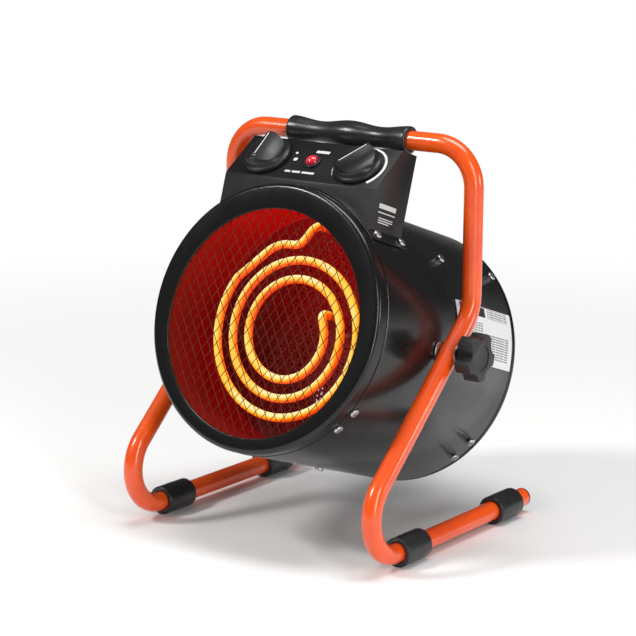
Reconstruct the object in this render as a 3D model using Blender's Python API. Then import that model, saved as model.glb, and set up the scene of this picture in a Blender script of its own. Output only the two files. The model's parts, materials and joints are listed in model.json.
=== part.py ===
"""Portable round drum fan heater on a bent-tube tilting stand (metres, +Z up, outlet faces -Y)."""
import bpy
import bmesh
from math import acos, asin, cos, degrees, pi, radians, sin, sqrt, tan
from mathutils import Matrix, Vector

# ---- stand -----------------------------------------------------------------
TUBE_R = 0.008
TUBE_WALL = 0.0015
TUBE_SIDES = 12
BEND_R = 0.034
BEND_STEPS = 5
HALF_W = 0.120
BAR_Y = 0.0166
BAR_Z = 0.3231
KNEE_Z = 0.1887
TOE_Y = -0.178
FOOT_Z = 0.012
HEEL_Y = 0.1040
SLEEVE_FRONT_Y = -0.0885
SLEEVE_REAR_Y = 0.0540
SLEEVE_LEN = 0.0345
SLEEVE_SIDES = 16
FIT_GAP = 0.0003
GRIP_LEN = 0.119
GRIP_R = 0.0116
GRIP_WAVE = 0.0024
GRIP_STEPS = 12

# ---- tilting drum (drum frame: X across, Y backwards along the axis, Z up; origin on pivot) --
TILT = radians(18.45)
PIVOT_Y = -0.0146
PIVOT_U = 0.0958
PIVOT_H = 0.0012
DRUM_R = 0.110
DRUM_WALL = 0.0012
DRUM_FRONT = 0.0140
DRUM_LEN = 0.2190
DRUM_SIDES = 48
RING_R = 0.1096
RING_DEPTH = 0.0136
OPEN_R = 0.0928
OPEN_H = -0.0044
LIP_R = 0.0800
SKIRT_END = 0.030
GUARD_U = 0.0028
GUARD_T = 0.0012
GUARD_R = 0.1000
GUARD_BAR = 0.0030
GUARD_PITCH = 0.0310
LINER_R = 0.0985
LINER_WALL = 0.0010
LINER_FRONT = 0.0050
LINER_REAR = 0.0850
BAFFLE_U = 0.0780
BAFFLE_R = 0.0966

# ---- heating element -------------------------------------------------------
COIL_U = 0.036
COIL_TUBE_R = 0.004
COIL_X = 0.0061
COIL_H = -0.0098
COIL_R0 = 0.0324
COIL_PITCH = 0.0155
COIL_START = radians(60.6)
COIL_TURNS = 2.70
COIL_STEPS = 18
LEAD_BENDS = ((-0.0240, 0.0642), (-0.0010, 0.0645), (0.0103, 0.0830))
LEG_BEND = 0.0075
LEG_END = 0.0900
BUSHING_HOLE = 0.0068
BAFFLE_PITCH = 0.0270
BAFFLE_HOLE = 0.0095

# ---- fan and motor ---------------------------------------------------------
FAN_U = 0.1070
FAN_R = 0.0800
FAN_HUB_R = 0.0170
FAN_BLADES = 5
MOTOR_U0 = 0.1265
MOTOR_U1 = 0.1720
MOTOR_R = 0.0300
BRACKET_U = 0.1218
BRACKET_ANGLES = (45.0, -45.0, 180.0)
BRACKET_T = 0.0016
BRACKET_TAB = 0.0060
BRACKET_HALF = 0.0070
GRILLE_ROWS = ((0.022, 0.038, 4, 12.0), (0.046, 0.066, 6, 8.0), (0.074, 0.096, 8, 6.0))

# ---- control box -----------------------------------------------------------
BOX_HALF = 0.0742
BOX_FRONT = 0.0140
BOX_BACK = 0.0638
BOX_TOP = 0.1500
FOLD_H = 0.1146
PANEL_TOP_U = 0.0417
SHEET = 0.0012
FLANGE_DEG = 5.0
KNOB_X = 0.0450
KNOB_R = 0.0205
LAMP_R = 0.0062
KNOB_HOLE = 0.0036
LAMP_HOLE = 0.0058
GLAND_X = -0.0400
GLAND_H = 0.1240
GLAND_HOLE = 0.0068
PLATE_DEG = (65.0, 90.0)
PLATE_U = (0.1205, 0.2110)

# ---- side clamps -----------------------------------------------------------
STUD_R = 0.00385
STUD_IN = 0.0985
WASHER_R = 0.0085
STAR_X0 = 0.1362
STAR_X1 = 0.1500
STAR_R = 0.0195
STAR_LOBE = 0.0052
STAR_LOBES = 5
STAR_TURN = radians(-20.0)
NUT_R = 0.0075

# ---- fasteners -------------------------------------------------------------
HEAD_R = 0.0038
HEAD_T = 0.0022
SHANK_R = 0.0018
SCREW_DRILL = 0.006
SCREW_SIDES = 8
FRONT_SCREW_U = 0.0182
REAR_SCREW_U = 0.2060
FRONT_SCREW_DEG = (123.5, 133.5)
REAR_SCREW_DEG = (45.5, 125.5, 136.0)
FLANGE_SCREW_U = (0.0225, 0.0585)

PIVOT_Z = KNEE_Z + (PIVOT_Y - BAR_Y) * (KNEE_Z - FOOT_Z) / (BAR_Y - TOE_Y)
PANEL_DIR = Vector((0.0, PANEL_TOP_U - BOX_FRONT, BOX_TOP - FOLD_H)).normalized()
PANEL_OUT = Vector((0.0, -PANEL_DIR.z, PANEL_DIR.y))
PANEL_MID = Vector((0.0, (BOX_FRONT + PANEL_TOP_U) / 2, (FOLD_H + BOX_TOP) / 2))


# ---- helpers ---------------------------------------------------------------
def clear_scene():
    for obj in list(bpy.data.objects):
        bpy.data.objects.remove(obj, do_unlink=True)


def material(name, colour, metallic, roughness, glow=0.0):
    mat = bpy.data.materials.new(name)
    mat.use_nodes = True
    node = mat.node_tree.nodes["Principled BSDF"]
    node.inputs["Base Color"].default_value = (*colour, 1.0)
    node.inputs["Metallic"].default_value = metallic
    node.inputs["Roughness"].default_value = roughness
    if glow:
        node.inputs["Emission Color"].default_value = (*colour, 1.0)
        node.inputs["Emission Strength"].default_value = glow
    return mat


def finish_mesh(name, bm, mat, matrix=None, parent=None, sharp=38.0):
    bmesh.ops.recalc_face_normals(bm, faces=bm.faces)
    mesh = bpy.data.meshes.new(name)
    bm.to_mesh(mesh)
    bm.free()
    mesh.shade_smooth()
    mesh.set_sharp_from_angle(angle=radians(sharp))
    if mat:
        mesh.materials.append(mat)
    obj = bpy.data.objects.new(name, mesh)
    bpy.context.scene.collection.objects.link(obj)
    if parent:
        obj.parent = parent
    if matrix:
        obj.matrix_local = matrix
    return obj


def add_lathe(bm, profile, sides, matrix=None, closed=True, turn=0.0):
    """Spin (radius, height) points about Z; radius 0 makes a pole."""
    place = matrix or Matrix.Identity(4)
    rings = []
    for radius, height in profile:
        if radius < 1e-9:
            rings.append([bm.verts.new(place @ Vector((0.0, 0.0, height)))])
            continue
        ring = []
        for i in range(sides):
            a = turn + 2 * pi * i / sides
            ring.append(bm.verts.new(place @ Vector((radius * cos(a), radius * sin(a), height))))
        rings.append(ring)
    pairs = list(zip(rings, rings[1:]))
    if closed:
        pairs.append((rings[-1], rings[0]))
    for low, high in pairs:
        for i in range(sides):
            j = (i + 1) % sides
            corners = [low[i % len(low)], low[j % len(low)], high[j % len(high)], high[i % len(high)]]
            unique = []
            for vert in corners:
                if vert not in unique:
                    unique.append(vert)
            if len(unique) > 2:
                bm.faces.new(unique)


def lathe(name, profile, sides, mat, matrix=None, parent=None, closed=True, turn=0.0, bake=None):
    bm = bmesh.new()
    add_lathe(bm, profile, sides, bake, closed, turn)
    return finish_mesh(name, bm, mat, matrix, parent)


def add_drill(bm, radius, reach, sides, matrix):
    """Plain cylinder about the matrix's local Z, from -reach to reach."""
    add_lathe(bm, [(0, -reach), (radius, -reach), (radius, reach), (0, reach)], sides, matrix, False)


def add_screw_drills(bm, spots, radius):
    for u, deg in spots:
        add_drill(bm, SHANK_R + FIT_GAP, SCREW_DRILL, SCREW_SIDES, on_drum(u, deg, radius))


def add_shell(bm, near, far):
    """Closed body between two outlines of equal length."""
    for i in range(len(near)):
        j = (i + 1) % len(near)
        bm.faces.new([near[i], near[j], far[j], far[i]])
    bm.faces.new(near)
    bm.faces.new(list(reversed(far)))


def add_box(bm, low, high, matrix=None):
    place = matrix or Matrix.Identity(4)
    spans = list(zip(low, high))
    v = [bm.verts.new(place @ Vector((x, y, z))) for x in spans[0] for y in spans[1] for z in spans[2]]
    for f in ((0, 1, 3, 2), (4, 6, 7, 5), (0, 4, 5, 1), (2, 3, 7, 6), (0, 2, 6, 4), (1, 5, 7, 3)):
        bm.faces.new([v[i] for i in f])


def add_prism(bm, outline, low, high, matrix=None):
    """Outline points (a, b) run in the local YZ plane and are drawn out along local X."""
    place = matrix or Matrix.Identity(4)
    near = [bm.verts.new(place @ Vector((low, a, b))) for a, b in outline]
    far = [bm.verts.new(place @ Vector((high, a, b))) for a, b in outline]
    add_shell(bm, near, far)


def round_corners(points, radius, steps):
    """Polyline with every inner corner replaced by an arc of the given radius."""
    path = [Vector(points[0])]
    for before, corner, after in zip(points, points[1:], points[2:]):
        corner = Vector(corner)
        back = (Vector(before) - corner).normalized()
        ahead = (Vector(after) - corner).normalized()
        half = acos(max(-1.0, min(1.0, back.dot(ahead)))) / 2
        centre = corner + (back + ahead).normalized() * (radius / sin(half))
        start = corner + back * (radius / tan(half)) - centre
        end = corner + ahead * (radius / tan(half)) - centre
        sweep = pi - 2 * half
        axis = start.cross(end).normalized()
        for k in range(steps + 1):
            path.append(centre + Matrix.Rotation(sweep * k / steps, 3, axis) @ start)
    path.append(Vector(points[-1]))
    return path


def tangents(path):
    last = len(path) - 1
    return [(path[min(i + 1, last)] - path[max(i - 1, 0)]).normalized() for i in range(last + 1)]


def add_sweep(bm, path, radii, sides, hollow):
    """Tube along the path; radii is (outer, inner) when hollow, else (outer,)."""
    frames = tangents(path)
    side = frames[0].orthogonal().normalized()
    shells = [[] for _ in radii]
    for point, forward in zip(path, frames):
        side = (side - forward * side.dot(forward)).normalized()
        across = forward.cross(side)
        for shell, radius in zip(shells, radii):
            ring = []
            for i in range(sides):
                a = 2 * pi * (i + 0.5) / sides
                ring.append(bm.verts.new(point + (side * cos(a) + across * sin(a)) * radius))
            shell.append(ring)
    for shell in shells:
        for low, high in zip(shell, shell[1:]):
            for i in range(sides):
                j = (i + 1) % sides
                bm.faces.new([low[i], low[j], high[j], high[i]])
    for end in (0, -1):
        if hollow:
            for i in range(sides):
                j = (i + 1) % sides
                bm.faces.new([shells[0][end][i], shells[0][end][j], shells[1][end][j], shells[1][end][i]])
        else:
            bm.faces.new(shells[0][end])


def boolean(obj, tool, operation="DIFFERENCE"):
    tool.hide_render = True
    tool.display_type = "WIRE"
    mod = obj.modifiers.new(operation.title(), "BOOLEAN")
    mod.operation = operation
    mod.solver = "EXACT"
    mod.object = tool


def drum_point(x, u, h):
    return Vector((x, u - PIVOT_U, h - PIVOT_H))


def backwards(spot):
    """Matrix at a point, with its local Z running backwards along +Y."""
    return Matrix.Translation(spot) @ Matrix.Rotation(-pi / 2, 4, "X")


def on_axis(u=0.0):
    """Matrix whose local Z runs backwards along the drum axis from depth u."""
    return backwards(drum_point(0.0, u, 0.0))


def on_opening(u):
    """Like on_axis, about the middle of the mouth, which sits below the drum's axis."""
    return backwards(drum_point(0.0, u, OPEN_H))


def on_drum(u, angle_deg, radius=0.0):
    """Matrix at the drum wall: local Z outwards, angle measured from the top towards +X."""
    spin = Matrix.Rotation(radians(angle_deg), 4, "Y")
    return Matrix.Translation(drum_point(0.0, u, 0.0)) @ spin @ Matrix.Translation((0.0, 0.0, radius))


def on_panel(x, along=0.0, lift=0.0):
    """Matrix on the sloping panel: local Z outwards, local Y up the slope."""
    spin = Matrix((Vector((1.0, 0.0, 0.0)), PANEL_DIR, PANEL_OUT)).transposed().to_4x4()
    spot = PANEL_MID + PANEL_DIR * along + PANEL_OUT * lift
    return Matrix.Translation(drum_point(x, spot.y, spot.z)) @ spin


def across(x, y, z):
    """Matrix with local Z along +X (or along -X for a point on the left side)."""
    return Matrix.Translation((x, y, z)) @ Matrix.Rotation(pi / 2 if x >= 0 else -pi / 2, 4, "Y")


# ---- stand pieces ----------------------------------------------------------
def stand_path():
    right = [(HALF_W, HEEL_Y, FOOT_Z), (HALF_W, TOE_Y, FOOT_Z), (HALF_W, BAR_Y, KNEE_Z), (HALF_W, BAR_Y, BAR_Z)]
    left = [(-x, y, z) for x, y, z in reversed(right)]
    return round_corners(right + left, BEND_R, BEND_STEPS)


def build_stand_tube(mat):
    bm = bmesh.new()
    add_sweep(bm, stand_path(), (TUBE_R, TUBE_R - TUBE_WALL), TUBE_SIDES, True)
    tube = finish_mesh("stand_tube", bm, mat)
    bm = bmesh.new()
    for sign in (1, -1):
        add_drill(bm, STUD_R + FIT_GAP, 0.02, 14, across(sign * HALF_W, PIVOT_Y, PIVOT_Z))
    boolean(tube, finish_mesh("stand_pivot_drill", bm, None))


def build_feet(rubber, plastic):
    flat = 1.0 / cos(pi / SLEEVE_SIDES)
    bore = TUBE_R + FIT_GAP
    outer = FOOT_Z * flat
    chamfer = 0.0012
    sleeve = [(bore * flat, 0.0), (outer - chamfer, 0.0), (outer, chamfer), (outer, SLEEVE_LEN - chamfer),
              (outer - chamfer, SLEEVE_LEN), (bore * flat, SLEEVE_LEN)]
    plug_in = TUBE_R - TUBE_WALL - FIT_GAP
    plug = [(0, -0.010), (plug_in * 0.94, -0.010), (plug_in, -0.008), (plug_in, FIT_GAP), (TUBE_R, FIT_GAP),
            (TUBE_R, 0.0014), (TUBE_R - 0.0012, 0.0026), (0, 0.0026)]
    for sign, side in ((1, "right"), (-1, "left")):
        for end, y in (("front", SLEEVE_FRONT_Y), ("rear", SLEEVE_REAR_Y)):
            spot = backwards((sign * HALF_W, y, FOOT_Z))
            lathe(f"foot_sleeve_{end}_{side}", sleeve, SLEEVE_SIDES, rubber, spot, turn=pi / SLEEVE_SIDES)
        spot = backwards((sign * HALF_W, HEEL_Y, FOOT_Z))
        lathe(f"tube_end_plug_{side}", plug, 16, plastic, spot, closed=False)


def build_grip(rubber):
    half = GRIP_LEN / 2
    bore = (TUBE_R + FIT_GAP) / cos(pi / 16)
    profile = [(bore, half), (bore, -half)]
    for k in range(GRIP_STEPS + 1):
        t = k / GRIP_STEPS
        wave = 0.5 - 0.5 * cos(4 * pi * t)
        end = 0.0012 if k in (0, GRIP_STEPS) else 0.0
        profile.append((GRIP_R - GRIP_WAVE * wave - end, -half + GRIP_LEN * t))
    place = Matrix.Translation((0.0, BAR_Y, BAR_Z)) @ Matrix.Rotation(pi / 2, 4, "Y")
    lathe("handle_grip", profile, 16, rubber, place)


# ---- drum pieces -----------------------------------------------------------
def drum_screw_spots():
    spots = []
    for deg in FRONT_SCREW_DEG:
        spots.append((FRONT_SCREW_U, deg))
    for deg in REAR_SCREW_DEG:
        spots.append((REAR_SCREW_U, deg))
    mirrored = [(u, sign * deg) for u, deg in spots for sign in (1, -1)]
    return mirrored + [(BRACKET_U, deg) for deg in BRACKET_ANGLES]


def flange_angle():
    return degrees(asin(BOX_HALF / (DRUM_R + 0.0012))) + FLANGE_DEG / 2


def flange_screw_spots():
    return [(u, sign * flange_angle()) for u in FLANGE_SCREW_U for sign in (1, -1)]


def build_drum_shell(mat, drum):
    inner = DRUM_R - DRUM_WALL
    hem = 0.0016
    profile = [(inner, DRUM_FRONT), (DRUM_R, DRUM_FRONT), (DRUM_R, DRUM_LEN - 0.0010),
               (DRUM_R - 0.0010, DRUM_LEN), (DRUM_R - hem, DRUM_LEN), (inner, DRUM_LEN - 0.0014)]
    shell = lathe("drum_shell", profile, DRUM_SIDES, mat, on_axis(), drum, turn=pi / DRUM_SIDES)
    bm = bmesh.new()
    add_screw_drills(bm, drum_screw_spots() + flange_screw_spots(), DRUM_R)
    for sign in (1, -1):
        add_drill(bm, STUD_R + FIT_GAP, 0.01, 14, across(sign * DRUM_R, 0.0, 0.0))
    add_box(bm, drum_point(-0.016, 0.026, 0.100), drum_point(0.016, 0.044, 0.116))
    boolean(shell, finish_mesh("drum_drills", bm, None, parent=drum))


def build_front_ring(mat, drum):
    skirt = DRUM_R - DRUM_WALL - 0.0004
    profile = [(LIP_R, 0.0), (RING_R - 0.0042, 0.0), (RING_R - 0.0012, 0.0012), (RING_R, 0.0044),
               (RING_R, RING_DEPTH), (skirt, RING_DEPTH), (skirt, SKIRT_END), (skirt - 0.0016, SKIRT_END),
               (skirt - 0.0016, 0.0065), (skirt - 0.0050, 0.0024), (LIP_R, 0.0024)]
    ring = lathe("front_ring", profile, DRUM_SIDES, mat, on_axis(), drum, turn=pi / DRUM_SIDES)
    bm = bmesh.new()
    spots = [(u, deg) for u, deg in drum_screw_spots() + flange_screw_spots() if u < SKIRT_END]
    add_screw_drills(bm, spots, DRUM_R - 0.002)
    add_drill(bm, OPEN_R, 0.004, DRUM_SIDES, on_opening(0.0))
    boolean(ring, finish_mesh("ring_drills", bm, None, parent=drum))


def build_front_guard(mat, drum):
    disc = [(0, GUARD_U), (GUARD_R, GUARD_U), (GUARD_R, GUARD_U + GUARD_T), (0, GUARD_U + GUARD_T)]
    guard = lathe("front_guard", disc, 36, mat, on_axis(), drum, closed=False)
    bm = bmesh.new()
    half = (GUARD_PITCH - GUARD_BAR) / 2
    turned = Matrix.Translation(drum_point(0.0, GUARD_U, OPEN_H)) @ Matrix.Rotation(pi / 4, 4, "Y")
    for row in range(-3, 4):
        for col in range(-3, 4):
            x = col * GUARD_PITCH
            z = row * GUARD_PITCH
            if sqrt(x * x + z * z) < OPEN_R + half:
                add_box(bm, (x - half, -0.005, z - half), (x + half, 0.005, z + half), turned)
    cells = finish_mesh("guard_cells", bm, None, parent=drum)
    bm = bmesh.new()
    add_drill(bm, OPEN_R + 0.001, 0.01, 36, on_opening(GUARD_U))
    boolean(cells, finish_mesh("guard_round", bm, None, parent=drum), "INTERSECT")
    boolean(guard, cells)


def build_liner(mat, drum):
    inner = LINER_R - LINER_WALL
    rim = DRUM_R - DRUM_WALL - 0.0006
    profile = [(inner, LINER_FRONT), (LINER_R, LINER_FRONT), (LINER_R, LINER_REAR - LINER_WALL),
               (rim, LINER_REAR - LINER_WALL), (rim, LINER_REAR), (inner, LINER_REAR)]
    lathe("heat_liner", profile, DRUM_SIDES, mat, on_axis(), drum, turn=pi / DRUM_SIDES)


def coil_point(angle, radius):
    """Point of the flat coil; the angle runs clockwise from the top as seen from the front."""
    return drum_point(COIL_X + radius * sin(angle), COIL_U, COIL_H + radius * cos(angle))


def coil_ends():
    first = coil_point(COIL_START, COIL_R0)
    last = drum_point(LEAD_BENDS[-1][0], COIL_U, LEAD_BENDS[-1][1])
    return first, last


def coil_path():
    """Inner leg, flat spiral and outer lead, all as one line."""
    first, last = coil_ends()
    count = int(COIL_STEPS * COIL_TURNS)
    loop = []
    for k in range(1, count + 1):
        turned = 2 * pi * COIL_TURNS * k / count
        loop.append(coil_point(COIL_START + turned, COIL_R0 + COIL_PITCH * turned / (2 * pi)))
    leg_end = LEG_END - COIL_U
    inner = round_corners([first + Vector((0.0, leg_end, 0.0)), first, loop[1]], LEG_BEND, 4)
    bends = [drum_point(x, COIL_U, h) for x, h in LEAD_BENDS]
    outer = round_corners([loop[-1]] + bends + [last + Vector((0.0, leg_end, 0.0))], LEG_BEND, 4)
    return inner[:-1] + loop[1:-1] + outer


def build_element(mat, drum):
    bm = bmesh.new()
    add_sweep(bm, coil_path(), (COIL_TUBE_R,), 8, False)
    finish_mesh("heating_element", bm, mat, parent=drum, sharp=60.0)


def build_baffle(mat, drum):
    disc = [(0, BAFFLE_U), (BAFFLE_R, BAFFLE_U), (BAFFLE_R, BAFFLE_U + 0.001), (0, BAFFLE_U + 0.001)]
    plate = lathe("baffle_plate", disc, 36, mat, on_axis(), drum, closed=False)
    ends = coil_ends()
    bm = bmesh.new()
    for row in range(-4, 5):
        for col in range(-4, 5):
            x = (col + 0.5 * (row % 2)) * BAFFLE_PITCH
            z = row * BAFFLE_PITCH * sqrt(3) / 2
            spot = drum_point(x, BAFFLE_U, z)
            near = min((spot - Vector((e.x, spot.y, e.z))).length for e in ends)
            if sqrt(x * x + z * z) < BAFFLE_R - 0.0130 and near > 0.0175:
                add_drill(bm, BAFFLE_HOLE, 0.004, 6, backwards(spot))
    for end in ends:
        add_drill(bm, BUSHING_HOLE, 0.004, 12, backwards((end.x, BAFFLE_U - PIVOT_U, end.z)))
    boolean(plate, finish_mesh("baffle_holes", bm, None, parent=drum))


def build_bushings(mat, drum):
    bore = (COIL_TUBE_R + FIT_GAP) * 1.03
    profile = [(bore, -0.0080), (0.0078, -0.0080), (0.0088, -0.0070), (0.0088, -FIT_GAP), (0.0064, -FIT_GAP),
               (0.0064, 0.0060), (bore, 0.0060)]
    for name, end in zip(("inner", "outer"), coil_ends()):
        place = backwards((end.x, BAFFLE_U - PIVOT_U, end.z))
        lathe(f"element_bushing_{name}", profile, 14, mat, place, drum)


def build_motor(steel, dark, drum):
    body = [(0, MOTOR_U0), (0.012, MOTOR_U0), (MOTOR_R, MOTOR_U0 + 0.002), (MOTOR_R, MOTOR_U1 - 0.004),
            (MOTOR_R - 0.004, MOTOR_U1), (0, MOTOR_U1)]
    lathe("motor_body", body, 24, dark, on_axis(), drum, closed=False)
    bm = bmesh.new()
    half = BRACKET_T / 2
    add_lathe(bm, [(0.0060, -half), (0.0320, -half), (0.0320, half), (0.0060, half)], 24, on_axis(BRACKET_U))
    bracket = finish_mesh("motor_bracket", bm, steel, parent=drum)
    reach = DRUM_R - DRUM_WALL - 0.0007
    bm = bmesh.new()
    for deg in BRACKET_ANGLES:
        foot = reach - BRACKET_T
        outline = [(-half, 0.024), (half, 0.024), (half, foot), (BRACKET_TAB, foot), (BRACKET_TAB, reach),
                   (-BRACKET_TAB, reach), (-BRACKET_TAB, foot), (-half, foot)]
        add_prism(bm, outline, -BRACKET_HALF, BRACKET_HALF, on_drum(BRACKET_U, deg))
    boolean(bracket, finish_mesh("bracket_arms", bm, None, parent=drum), "UNION")
    bm = bmesh.new()
    add_screw_drills(bm, [(BRACKET_U, deg) for deg in BRACKET_ANGLES], DRUM_R)
    boolean(bracket, finish_mesh("bracket_drills", bm, None, parent=drum))


def build_fan(mat, steel, drum):
    place = on_axis(FAN_U)
    hub = [(0.0032, -0.007), (FAN_HUB_R - 0.003, -0.009), (FAN_HUB_R, -0.006), (FAN_HUB_R, 0.008),
           (0.0032, 0.008)]
    fan = lathe("fan_blade", hub, 20, mat, place, drum)
    bm = bmesh.new()
    spans = 4
    for blade in range(FAN_BLADES):
        turn = Matrix.Rotation(2 * pi * blade / FAN_BLADES, 4, "Z")
        rows = []
        for k in range(spans + 1):
            t = k / spans
            radius = FAN_HUB_R - 0.004 + (FAN_R - FAN_HUB_R + 0.004) * t
            pitch = radians(38.0 - 16.0 * t)
            chord = 0.0105 + 0.013 * t
            lean = radians(16.0) * t
            row = []
            for side, skin in ((-1, -0.0007), (1, -0.0007), (1, 0.0007), (-1, 0.0007)):
                ang = lean + side * chord * cos(pitch) / radius
                z = side * min(chord * sin(pitch), 0.0078) + skin
                row.append(bm.verts.new(turn @ Vector((radius * cos(ang), radius * sin(ang), z))))
            rows.append(row)
        for low, high in zip(rows, rows[1:]):
            for i in range(4):
                j = (i + 1) % 4
                bm.faces.new([low[i], low[j], high[j], high[i]])
        bm.faces.new(rows[0])
        bm.faces.new(rows[-1])
    boolean(fan, finish_mesh("fan_blade_tool", bm, None, place, drum), "UNION")
    shaft = [(0, -0.010), (0.0028, -0.010), (0.0028, 0.0185), (0, 0.0185)]
    lathe("motor_shaft", shaft, 12, steel, place, drum, closed=False)


def build_rear_grille(mat, drum):
    skirt = DRUM_R - DRUM_WALL - 0.0006
    inner = skirt - 0.0014
    back = DRUM_LEN - 0.0034
    profile = [(0, back - 0.0014), (inner, back - 0.0014), (inner, REAR_SCREW_U - 0.008),
               (skirt, REAR_SCREW_U - 0.008), (skirt, back), (0, back)]
    grille = lathe("rear_grille", profile, DRUM_SIDES, mat, on_axis(), drum, closed=False, turn=pi / DRUM_SIDES)
    bm = bmesh.new()
    for low, high, count, web in GRILLE_ROWS:
        for k in range(count):
            start = radians(360.0 * k / count + web)
            end = radians(360.0 * (k + 1) / count)
            steps = 3
            ring = [(start + (end - start) * s / steps) for s in range(steps + 1)]
            outline = [(low * sin(a), low * cos(a)) for a in ring]
            outline += [(high * sin(a), high * cos(a)) for a in reversed(ring)]
            near, far = [[bm.verts.new(drum_point(x, u, z)) for x, z in outline]
                         for u in (back - SCREW_DRILL, back + SCREW_DRILL)]
            add_shell(bm, near, far)
    add_screw_drills(bm, [(u, deg) for u, deg in drum_screw_spots() if u == REAR_SCREW_U], DRUM_R - 0.001)
    boolean(grille, finish_mesh("grille_slots", bm, None, parent=drum))


def build_cutout(mat, drum):
    body = [(0, 0.0), (0.0075, 0.0), (0.0075, 0.0045), (0.0060, 0.0060), (0, 0.0060)]
    lathe("thermal_cutout", body, 14, mat, on_drum(0.062, 0.0, LINER_R + 0.0008), drum, closed=False)


def build_rating_plate(mat, drum):
    low, high = DRUM_R + FIT_GAP, DRUM_R + 0.0008
    start, end, steps = radians(PLATE_DEG[0]), radians(PLATE_DEG[1]), 8
    outline = []
    for radius, order in ((low, range(steps + 1)), (high, range(steps, -1, -1))):
        for k in order:
            a = start + (end - start) * k / steps
            outline.append((radius * sin(a), radius * cos(a)))
    bm = bmesh.new()
    near, far = [[bm.verts.new(drum_point(x, u, z)) for x, z in outline] for u in PLATE_U]
    for i in range(len(outline)):
        j = (i + 1) % len(outline)
        bm.faces.new([near[i], near[j], far[j], far[i]])
    for ring in (near, far):
        for k in range(steps):
            bm.faces.new([ring[k], ring[k + 1], ring[-k - 2], ring[-k - 1]])
    finish_mesh("rating_plate", bm, mat, parent=drum)


# ---- control box -----------------------------------------------------------
def box_outline(shrink, floor):
    slope = shrink * (1 - PANEL_DIR.y) / PANEL_DIR.z
    points = [(BOX_FRONT + shrink, floor), (BOX_FRONT + shrink, FOLD_H - slope),
              (PANEL_TOP_U + slope, BOX_TOP - shrink), (BOX_BACK, BOX_TOP - shrink), (BOX_BACK, floor)]
    return [(u - PIVOT_U, h - PIVOT_H) for u, h in points]


def build_box_cover(mat, drum):
    bm = bmesh.new()
    add_prism(bm, box_outline(0.0, 0.070), -BOX_HALF, BOX_HALF)
    cover = finish_mesh("control_box_cover", bm, mat, parent=drum, sharp=20.0)
    bm = bmesh.new()
    inside = box_outline(SHEET, 0.060)
    inside[3] = (inside[3][0] + 0.01, inside[3][1])
    inside[4] = (inside[4][0] + 0.01, inside[4][1])
    add_prism(bm, inside, -BOX_HALF + SHEET, BOX_HALF - SHEET)
    boolean(cover, finish_mesh("box_hollow", bm, None, parent=drum))
    bm = bmesh.new()
    floor_r = (DRUM_R + 0.0004) / cos(pi / 96)
    add_lathe(bm, [(0, 0.0), (floor_r, 0.0), (floor_r, 0.080), (0, 0.080)], 96, on_axis(), False)
    boolean(cover, finish_mesh("box_saddle", bm, None, parent=drum))
    bm = bmesh.new()
    start = degrees(asin((BOX_HALF - SHEET * 0.9) / (DRUM_R + 0.001)))
    end = flange_angle() + FLANGE_DEG / 2
    for sign in (1, -1):
        outline = []
        for radius, order in ((DRUM_R + 0.0006, range(5)), (DRUM_R + 0.0006 + SHEET, range(4, -1, -1))):
            for k in order:
                a = radians(start + (end - start) * k / 4)
                outline.append((sign * radius * sin(a), radius * cos(a)))
        near, far = [[bm.verts.new(drum_point(x, u, z)) for x, z in outline] for u in (BOX_FRONT, BOX_BACK)]
        add_shell(bm, near, far)
    boolean(cover, finish_mesh("box_flanges", bm, None, parent=drum), "UNION")
    bm = bmesh.new()
    for sign in (1, -1):
        add_drill(bm, KNOB_HOLE, 0.006, 12, on_panel(sign * KNOB_X))
    add_drill(bm, LAMP_HOLE, 0.006, 12, on_panel(0.0))
    add_screw_drills(bm, flange_screw_spots(), DRUM_R)
    boolean(cover, finish_mesh("box_drills", bm, None, parent=drum))


def build_box_back(mat, plastic, drum):
    half = BOX_HALF - SHEET - FIT_GAP
    top = BOX_TOP - SHEET - FIT_GAP
    u1 = BOX_BACK - 0.0004
    bm = bmesh.new()
    add_box(bm, drum_point(-half, u1 - SHEET, 0.070), drum_point(half, u1, top))
    back = finish_mesh("control_box_back", bm, mat, parent=drum)
    bm = bmesh.new()
    floor_r = (DRUM_R + 0.0004) / cos(pi / 48)
    add_lathe(bm, [(0, 0.0), (floor_r, 0.0), (floor_r, 0.080), (0, 0.080)], 48, on_axis(), False)
    gland = backwards(drum_point(GLAND_X, BOX_BACK, GLAND_H))
    saddle = finish_mesh("back_saddle", bm, None, parent=drum)
    boolean(back, saddle)
    bm = bmesh.new()
    add_drill(bm, GLAND_HOLE, 0.006, 14, gland)
    boolean(back, finish_mesh("back_drill", bm, None, parent=drum))
    profile = [(0.0036, -0.0065), (0.0064, -0.0065), (0.0064, 0.0001), (0.0090, 0.0001), (0.0090, 0.0045),
               (0.0078, 0.0052), (0.0066, 0.0125), (0.0036, 0.0125)]
    lathe("cable_gland", profile, 14, plastic, gland, drum)


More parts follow.
